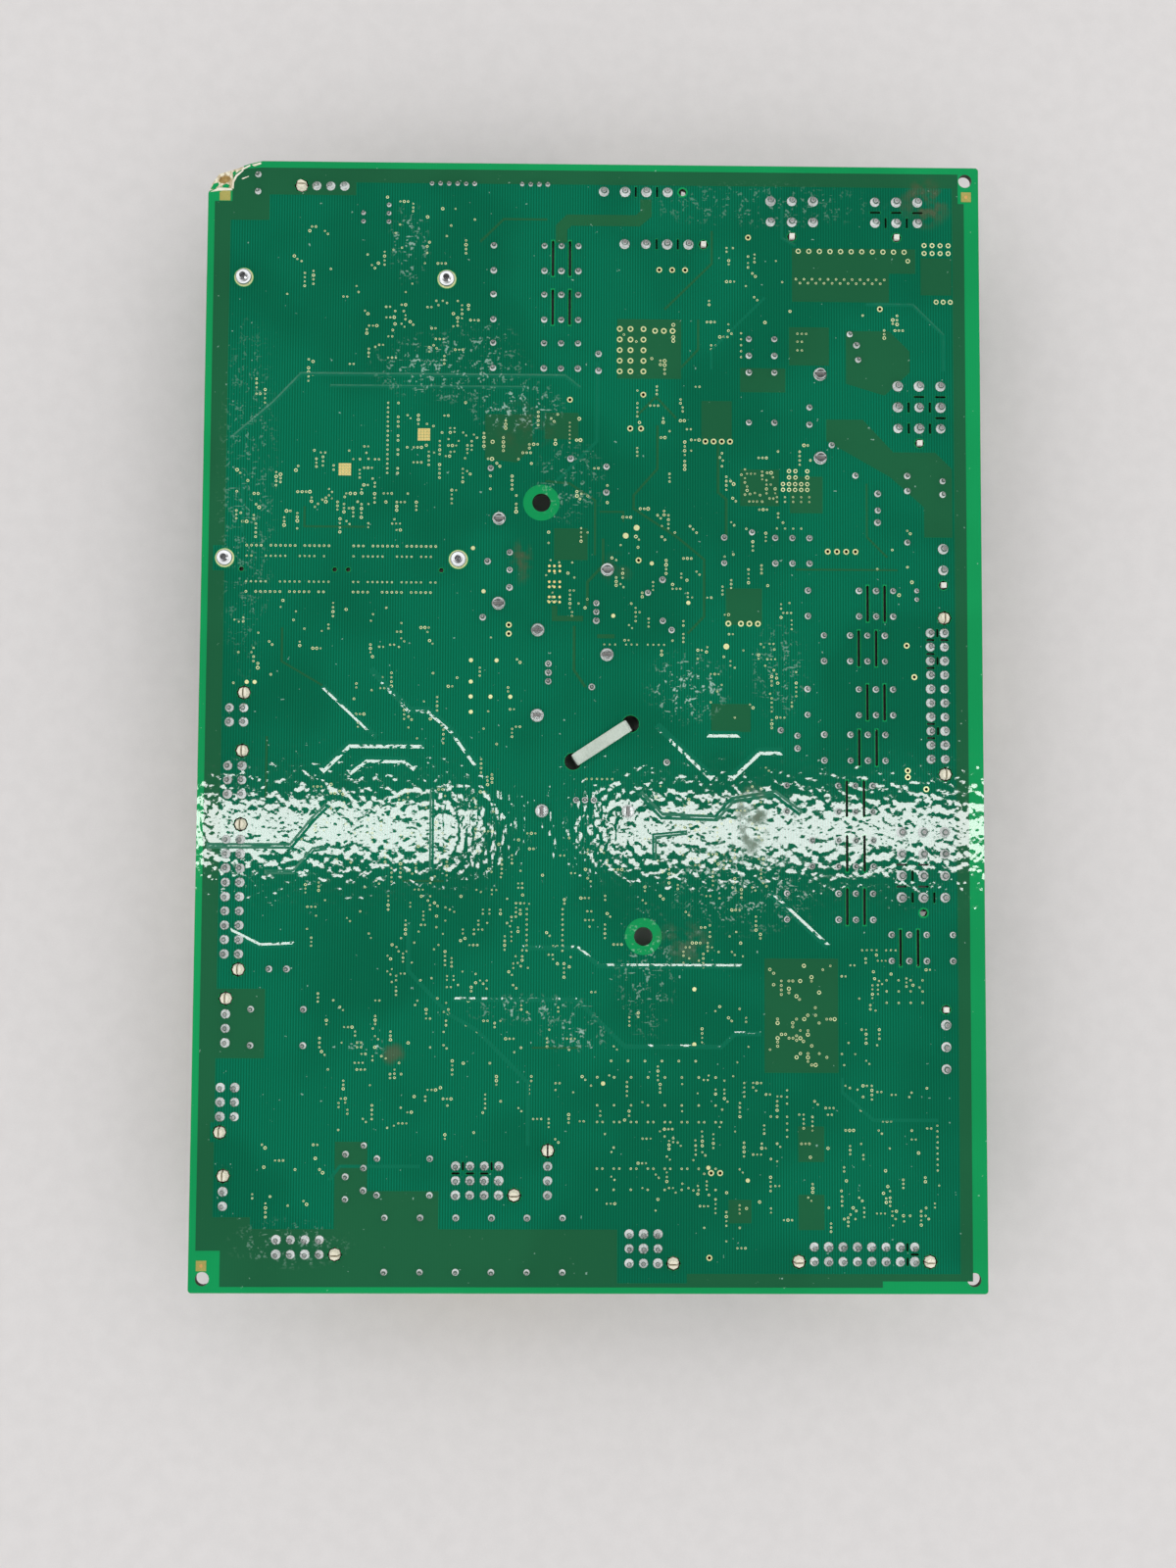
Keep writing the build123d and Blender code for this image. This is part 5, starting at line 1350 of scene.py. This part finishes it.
@dataclass
class SolderWork:
    """The solder joints: a hollow cone of solder that runs up to the cut end of a pin."""

    top: float
    seed: int = 5
    sides: int = 12
    rim: float = 0.06
    pin_radius: float = 1.62
    pin_low: float = 0.2
    pin_high: float = 0.85

    def cone(self, bm: Work, place: Place, radius: float, height: float, tip: float,
             dice: random.Random) -> None:
        """Add one joint.

        Args:
            bm: the work.
            place: its place on the board.
            radius: the radius of its foot.
            height: its height.
            tip: the radius of the cut end.
            dice: the source of its small differences.
        """
        bottom = self.top - SINK
        run = radius - tip
        profile = (
            (radius, 0.0), (radius * 0.97, self.rim), (radius - run * 0.30, self.rim + run * 0.20),
            (radius - run * 0.56, self.rim + run * 0.40), (tip + run * 0.22, height * 0.52),
            (tip + run * 0.07, height * 0.80), (tip, height * 0.94), (tip * 0.78, height),
        )
        lean = Vector((dice.uniform(-0.10, 0.10), dice.uniform(-0.10, 0.10)))
        turn = Matrix.Rotation(dice.uniform(0, math.pi), 4, "Z")
        circles = []
        for ring_radius, rise in profile:
            share = rise / height
            centre = (place[0] + lean.x * share, place[1] + lean.y * share)
            circles.append((ring_radius, Matrix.Translation(at(centre, bottom + rise)) @ turn))
        rings = MeshShop.shell(bm, circles, self.sides)
        cap = bm.faces.new(rings[-1])
        inner = bmesh.ops.inset_individual(bm, faces=[cap], thickness=tip * 0.28 * MM,
                                           depth=0.03 * MM)
        for face in [cap, *inner["faces"]]:
            face.material_index = 1

    def build(self) -> None:
        """Build the joints of every kind, each kind as one piece.

        The numbers are the radius and the height of a joint and the radius of its cut end.
        """
        dice = random.Random(self.seed)
        power, signal = ([pin for spot in HEADERS if spot.power is kind for pin in spot.pins()]
                         for kind in (True, False))
        kinds = {
            "power_joints": (power, 1.55, 1.42, 0.62),
            "signal_joints": (signal, 1.42, 1.30, 0.42),
            "relay_joints": ([pin for relay in RELAYS for pin in relay.pins()], 0.98, 1.35, 0.34),
            "lead_joints": (LONE_LEADS + FILM_LEADS, 1.0, 1.35, 0.30),
            "strip_joints": (STRIP_PINS, 0.72, 1.0, 0.26),
        }
        materials = [SOLDER.make(), LEAD_END.make()]
        pieces = []
        for name, (places, radius, height, tip) in kinds.items():
            heap = Heap()
            for place in places:
                size = dice.uniform(0.94, 1.06)
                self.cone(heap.next(), place, radius * size, height * dice.uniform(0.92, 1.02),
                          tip * size, dice)
            bm = heap.done()
            bmesh.ops.recalc_face_normals(bm, faces=bm.faces[:])
            pieces.append(MeshShop.finish(bm, name, materials, "solder", smooth=True))
        pieces.append(self.heatsink_joints(materials, dice))
        for piece in pieces:
            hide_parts("solder_joints")

    def heatsink_joints(self, materials: Sequence[bpy.types.Material],
                        dice: random.Random) -> bpy.types.Object:
        """Build the broad low joints of the heatsink pins, each with the split end of a round pin.

        Args:
            materials: the solder and the cut metal.
            dice: the source of the joints' small differences.

        Returns:
            The piece.
        """
        bm = bmesh.new()
        arc = [math.radians(14 + 152 * step / 14) for step in range(15)]
        for index, place in enumerate(HEATSINK_PINS):
            self.cone(bm, place, 2.0, 0.42, 1.6, dice)
            turned = index in TURNED_PINS
            for side in (-1, 1):
                half = [(self.pin_radius * math.cos(angle),
                         side * self.pin_radius * math.sin(angle)) for angle in arc]
                outline = [(place[0] + (y if turned else x), place[1] + (x if turned else y))
                           for x, y in half]
                MeshShop.plate(bm, [outline], self.top + self.pin_low, self.top + self.pin_high)
                caps = [face for face in bm.faces if face.normal.z > 0.9
                        and face.calc_center_median().z > (self.top + self.pin_high - 0.05) * MM
                        and (face.calc_center_median() - at(place, self.top)).length < 2.5 * MM]
                bmesh.ops.inset_region(bm, faces=caps, thickness=0.22 * MM, depth=0.14 * MM)
        bmesh.ops.recalc_face_normals(bm, faces=bm.faces[:])
        return MeshShop.finish(bm, "heatsink_joints", materials, "solder")


@dataclass
class CableTie:
    """The ribbed nylon tie: a flat band through two holes, closed under the ring choke."""

    top: float
    width: float = 3.7
    thickness: float = 1.1
    bottom: float = 12.6
    corner: float = 0.9
    edge: float = 0.25
    lift: float = 0.05
    hole_radius: float = 2.5
    rib_step: float = 0.95
    rib_start: float = 1.4
    rib_end: float = 1.0
    rib: tuple = (0.42, 2.6, 0.16)
    head: tuple = (4.2, 5.4, 4.6)

    @staticmethod
    def outline(start: float, end: float, low: float, high: float, radius: float) -> list[Place]:
        """Work out a rounded rectangle in the plane of the band.

        Args:
            start: where it starts along the band.
            end: where it ends.
            low: its lowest height.
            high: its highest height.
            radius: the radius of its corners.

        Returns:
            Its corners as (along, height) pairs.
        """
        points = []
        centres = ((end - radius, high - radius), (start + radius, high - radius),
                   (start + radius, low + radius), (end - radius, low + radius))
        for quarter, (along, height) in enumerate(centres):
            for step in range(6):
                angle = math.radians(90 * quarter + 18 * step)
                points.append((along + radius * math.cos(angle), height + radius * math.sin(angle)))
        return points

    def band(self, bm: Work, seat: Matrix, near: float, span: float) -> None:
        """Add the flat closed band.

        Args:
            bm: the work.
            seat: the place and heading of its first hole.
            near: how far from the first hole's centre it comes up.
            span: the distance between the holes.
        """
        edges = []
        for extra in (self.thickness, 0.0):
            loop = self.outline(near - extra, span - near + extra,
                                self.bottom + self.thickness - extra,
                                self.top + self.lift + extra, self.corner + extra)
            points = [seat @ Vector((along * MM, -self.width / 2 * MM, height * MM))
                      for along, height in loop]
            edges += MeshShop.closed_loop(bm, points)
        faces = MeshShop.fill(bm, edges, (0, 1, 0))
        moved = bmesh.ops.extrude_face_region(bm, geom=faces, use_keep_orig=True)
        side = seat.to_3x3() @ Vector((0, self.width * MM, 0))
        bmesh.ops.translate(bm, verts=MeshShop.pick(moved, bmesh.types.BMVert), vec=side)
        long_edges = [edge for edge in bm.edges if len(edge.link_faces) == 2
                      and edge.calc_face_angle(0.0) > math.radians(60)]
        MeshShop.soften(bm, long_edges, self.edge, 2)

    def build(self) -> None:
        """Build the band, its ribs and its head, and hide the plain tie."""
        first, second = Vector(TIE_HOLES[0]), Vector(TIE_HOLES[1])
        span = (second - first).length
        near = math.sqrt(self.hole_radius ** 2 - (self.width / 2) ** 2) - 0.1
        turn = math.atan2(first.y - second.y, second.x - first.x)
        seat = Matrix.Translation(at(TIE_HOLES[0], 0.0)) @ Matrix.Rotation(turn, 4, "Z")
        bm = bmesh.new()
        self.band(bm, seat, near, span)
        along = near + self.rib_start
        while along < span - near - self.rib_end:
            height = self.top + self.lift + self.thickness
            place = seat @ Matrix.Translation((along * MM, 0, height * MM))
            MeshShop.block(bm, place, self.rib, 0.05, 1)
            along += self.rib_step
        height = self.bottom + self.thickness / 2 - self.head[2] / 2
        place = seat @ Matrix.Translation((span / 2 * MM, 0, height * MM))
        MeshShop.block(bm, place, self.head, 0.5, 2)
        bmesh.ops.recalc_face_normals(bm, faces=bm.faces[:])
        piece = MeshShop.finish(bm, "ribbed_tie", [NYLON.make()], "tie_nylon")
        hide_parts("cable_tie")


@dataclass
class ModuleScrews:
    """The pan-head screws of the plug-in module, on both sides."""

    top: float
    profile: tuple = (
        (2.38, 0.0), (2.38, 0.45), (2.26, 0.85), (1.95, 1.22), (1.5, 1.50), (0.95, 1.73),
    )
    arm: float = 0.88
    half: float = 0.19
    depth: float = 0.9
    shank_radius: float = 1.35

    def head(self, bm: Work, place: Place, height: float, sign: float, turn: float) -> None:
        """Add a domed head with a cross recess.

        Args:
            bm: the work.
            place: its place on the board.
            height: the height that it rests on.
            sign: 1 when it faces up, -1 when it faces down.
            turn: the angle of its recess.
        """
        rings = MeshShop.shell(bm, [(radius, Matrix.Translation(at(place, height + sign * rise)))
                                    for radius, rise in self.profile], 32)
        arm, half = self.arm, self.half
        seat = Matrix.Translation(at(place, height)) @ Matrix.Rotation(turn, 4, "Z")
        cross = [(arm, half), (half, half), (half, arm), (-half, arm), (-half, half), (-arm, half)]
        cross += [(-x, -y) for x, y in cross]
        rise = sign * self.profile[-1][1] * MM
        edges = MeshShop.closed_loop(bm, [seat @ Vector((x * MM, y * MM, rise)) for x, y in cross])
        MeshShop.fill(bm, edges + MeshShop.ring_edges(rings[-1]))
        walls = bmesh.ops.extrude_edge_only(bm, edges=edges)
        lower = MeshShop.pick(walls, bmesh.types.BMVert)
        bmesh.ops.translate(bm, verts=lower, vec=(0, 0, -sign * self.depth * MM))
        centre = at(place, height)
        bmesh.ops.scale(bm, verts=lower, vec=(0.6, 0.6, 1.0),
                        space=Matrix.Translation((-centre.x, -centre.y, 0)))
        MeshShop.fill(bm, MeshShop.ring_edges(lower))

    def build(self, module_back: float, underside: float) -> None:
        """Build the heads and shanks.

        Args:
            module_back: the height of the module's far face.
            underside: the height of the board's lower face.
        """
        bm = bmesh.new()
        shanks = ((underside - 2.2, self.top + 0.1), (module_back - 0.05, module_back + 3.8))
        for index, place in enumerate(SCREWS):
            self.head(bm, place, self.top + 0.06, 1.0, 0.6 + index * 0.9)
            self.head(bm, place, module_back, -1.0, 0.3 + index * 0.7)
            for low, high in shanks:
                seat = Matrix.Translation(at(place, (low + high) / 2))
                bmesh.ops.create_cone(bm, cap_ends=True, segments=16,
                                      radius1=self.shank_radius * MM,
                                      radius2=self.shank_radius * MM,
                                      depth=(high - low) * MM, matrix=seat)
        bmesh.ops.recalc_face_normals(bm, faces=bm.faces[:])
        piece = MeshShop.finish(bm, "module_screw_heads", [SCREW.make()], "screw_metal")
        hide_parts("module_screws")


NODE_FINISHES: dict[str, Finish] = {
    "power_header_pins": PIN, "signal_header_pins": PIN, "pin_strips": PIN,
    "power_header": NATURAL, "signal_header": CREAM, "relay": RELAY_CASE, "small_relay": RELAY_CASE,
    "heatsink": ANODISED, "power_transistors": CHIP, "transistor_bolts": SCREW,
    "film_capacitors": FILM, "mains_chokes": CHOKE, "disc_varistors": VARISTOR,
    "round_capacitors": SLEEVE, "ring_choke_core": RING, "ring_choke_winding": WIRE,
    "cable_tie": NYLON, "module_chips": CHIP, "surface_chips": CHIP,
    "module_connectors": CONNECTOR, "module_spacers": SCREW,
}


@dataclass
class Dresser:
    """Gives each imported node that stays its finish."""

    nodes: dict
    made: dict = field(default_factory=dict)

    def material(self, key: str, make: Callable[[], bpy.types.Material]) -> bpy.types.Material:
        """Return a material, made once."""
        if key not in self.made:
            self.made[key] = make()
        return self.made[key]

    def dress(self) -> None:
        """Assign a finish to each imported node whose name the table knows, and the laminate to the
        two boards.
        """
        prefixes = sorted(NODE_FINISHES, key=len, reverse=True)
        for name, node in self.nodes.items():
            if name in ("circuit_board", "module_board"):
                material = self.material("laminate", BARE_GREEN.make)
            else:
                key = next((prefix for prefix in prefixes if name.startswith(prefix)), None)
                if key is None:
                    continue
                finish = NODE_FINISHES[key]
                material = self.material(finish.name, finish.make)
            node.data.materials.clear()
            node.data.materials.append(material)
            LOG.info("dressed %s", name)


@dataclass(frozen=True)
class Strip:
    """A soft box over the board: its name, its middle and length to the right, and its power."""

    name: str
    middle: float
    length: float
    power: float


@dataclass(frozen=True)
class Studio:
    """The floor, the lamps and the camera."""

    floor_colour: Colour = (0.672, 0.650, 0.646)
    floor_size: float = 6.0
    floor_drop: float = 0.0004
    lens: float = 28.125
    sensor: float = 36.0
    camera_place: tuple = (-0.004655, -0.035262, 0.384819)
    camera_turn: tuple = (2.52215, -0.583396, 0.280538)
    strips: tuple = (
        Strip("strip_left", -0.387, 0.470, 1.95), Strip("strip_right", 0.385, 0.710, 2.95),
    )
    strip_line: float = -0.023
    strip_height: float = 1.527
    strip_width: float = 0.075
    wall_top: float = 0.66
    wall_level: float = 1.56
    ceiling_start: float = 0.85
    ceiling_level: float = 0.07

    def camera(self) -> None:
        """Set the camera at the photo's viewing angle."""
        data = bpy.data.cameras.new("camera")
        data.lens = self.lens
        data.sensor_width = self.sensor
        data.clip_start, data.clip_end = 0.01, 20.0
        camera = bpy.data.objects.new("camera", data)
        camera.location = self.camera_place
        camera.rotation_euler = Euler([math.radians(angle) for angle in self.camera_turn])
        bpy.context.scene.collection.objects.link(camera)
        bpy.context.scene.camera = camera

    def floor(self) -> None:
        """Lay the plain pale floor."""
        bm = bmesh.new()
        bmesh.ops.create_grid(bm, x_segments=1, y_segments=1, size=self.floor_size,
                              matrix=Matrix.Translation((0, 0, -self.floor_drop)))
        mesh = bpy.data.meshes.new("floor")
        bm.to_mesh(mesh)
        bm.free()
        floor = bpy.data.objects.new("floor", mesh)
        bpy.context.scene.collection.objects.link(floor)
        shade = tuple(channel * 0.95 for channel in self.floor_colour)
        mesh.materials.append(Finish("floor_pale", self.floor_colour, shade, 0.9).make())

    def lamps(self) -> None:
        """Hang two long narrow boxes high above, end to end with a gap."""
        for strip in self.strips:
            data = bpy.data.lights.new(strip.name, "AREA")
            data.shape = "RECTANGLE"
            data.size, data.size_y = strip.length, self.strip_width
            data.energy = strip.power
            lamp = bpy.data.objects.new(strip.name, data)
            lamp.location = (strip.middle, self.strip_line, self.strip_height)
            lamp.rotation_euler = Vector((0, 0, -1)).to_track_quat("-Z", "Y").to_euler()
            lamp.visible_camera = False
            bpy.context.scene.collection.objects.link(lamp)

    def world(self) -> None:
        """Light the object from all sides, softly, with the ceiling darker than the walls."""
        world = bpy.data.worlds.new("studio")
        bpy.context.scene.world = world
        world.use_nodes = True
        tree = world.node_tree
        coords = tree.nodes.new("ShaderNodeTexCoord")
        axes = tree.nodes.new("ShaderNodeSeparateXYZ")
        tree.links.new(coords.outputs["Generated"], axes.inputs[0])
        level = tree.nodes.new("ShaderNodeMapRange")
        level.interpolation_type = "SMOOTHSTEP"
        for name, value in (("From Min", self.wall_top), ("From Max", self.ceiling_start),
                            ("To Min", self.wall_level), ("To Max", self.ceiling_level)):
            level.inputs[name].default_value = value
        tree.links.new(axes.outputs["Z"], level.inputs["Value"])
        background = tree.nodes["Background"]
        background.inputs["Color"].default_value = (1.0, 1.0, 1.0, 1.0)
        tree.links.new(level.outputs["Result"], background.inputs["Strength"])

    def build(self) -> None:
        """Build the whole studio."""
        self.camera()
        self.floor()
        self.lamps()
        self.world()
        bpy.context.scene.view_settings.view_transform = "Standard"


def main() -> None:
    """Build the pieces in order, from the heights of the board and the module board."""
    logging.basicConfig(level=logging.INFO, format="%(message)s")
    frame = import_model()
    board_low, board_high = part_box("circuit_board")
    top = board_high.z / MM
    Studio().build()
    CoatedFace(top).build()
    GoldWork(top).build()
    SolderWork(top).build()
    module_low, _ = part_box("module_board")
    ModuleScrews(top).build(module_low.z / MM, board_low.z / MM)
    CableTie(top).build()
    Dresser(frame["nodes"]).dress()


if __name__ == "__main__":
    main()
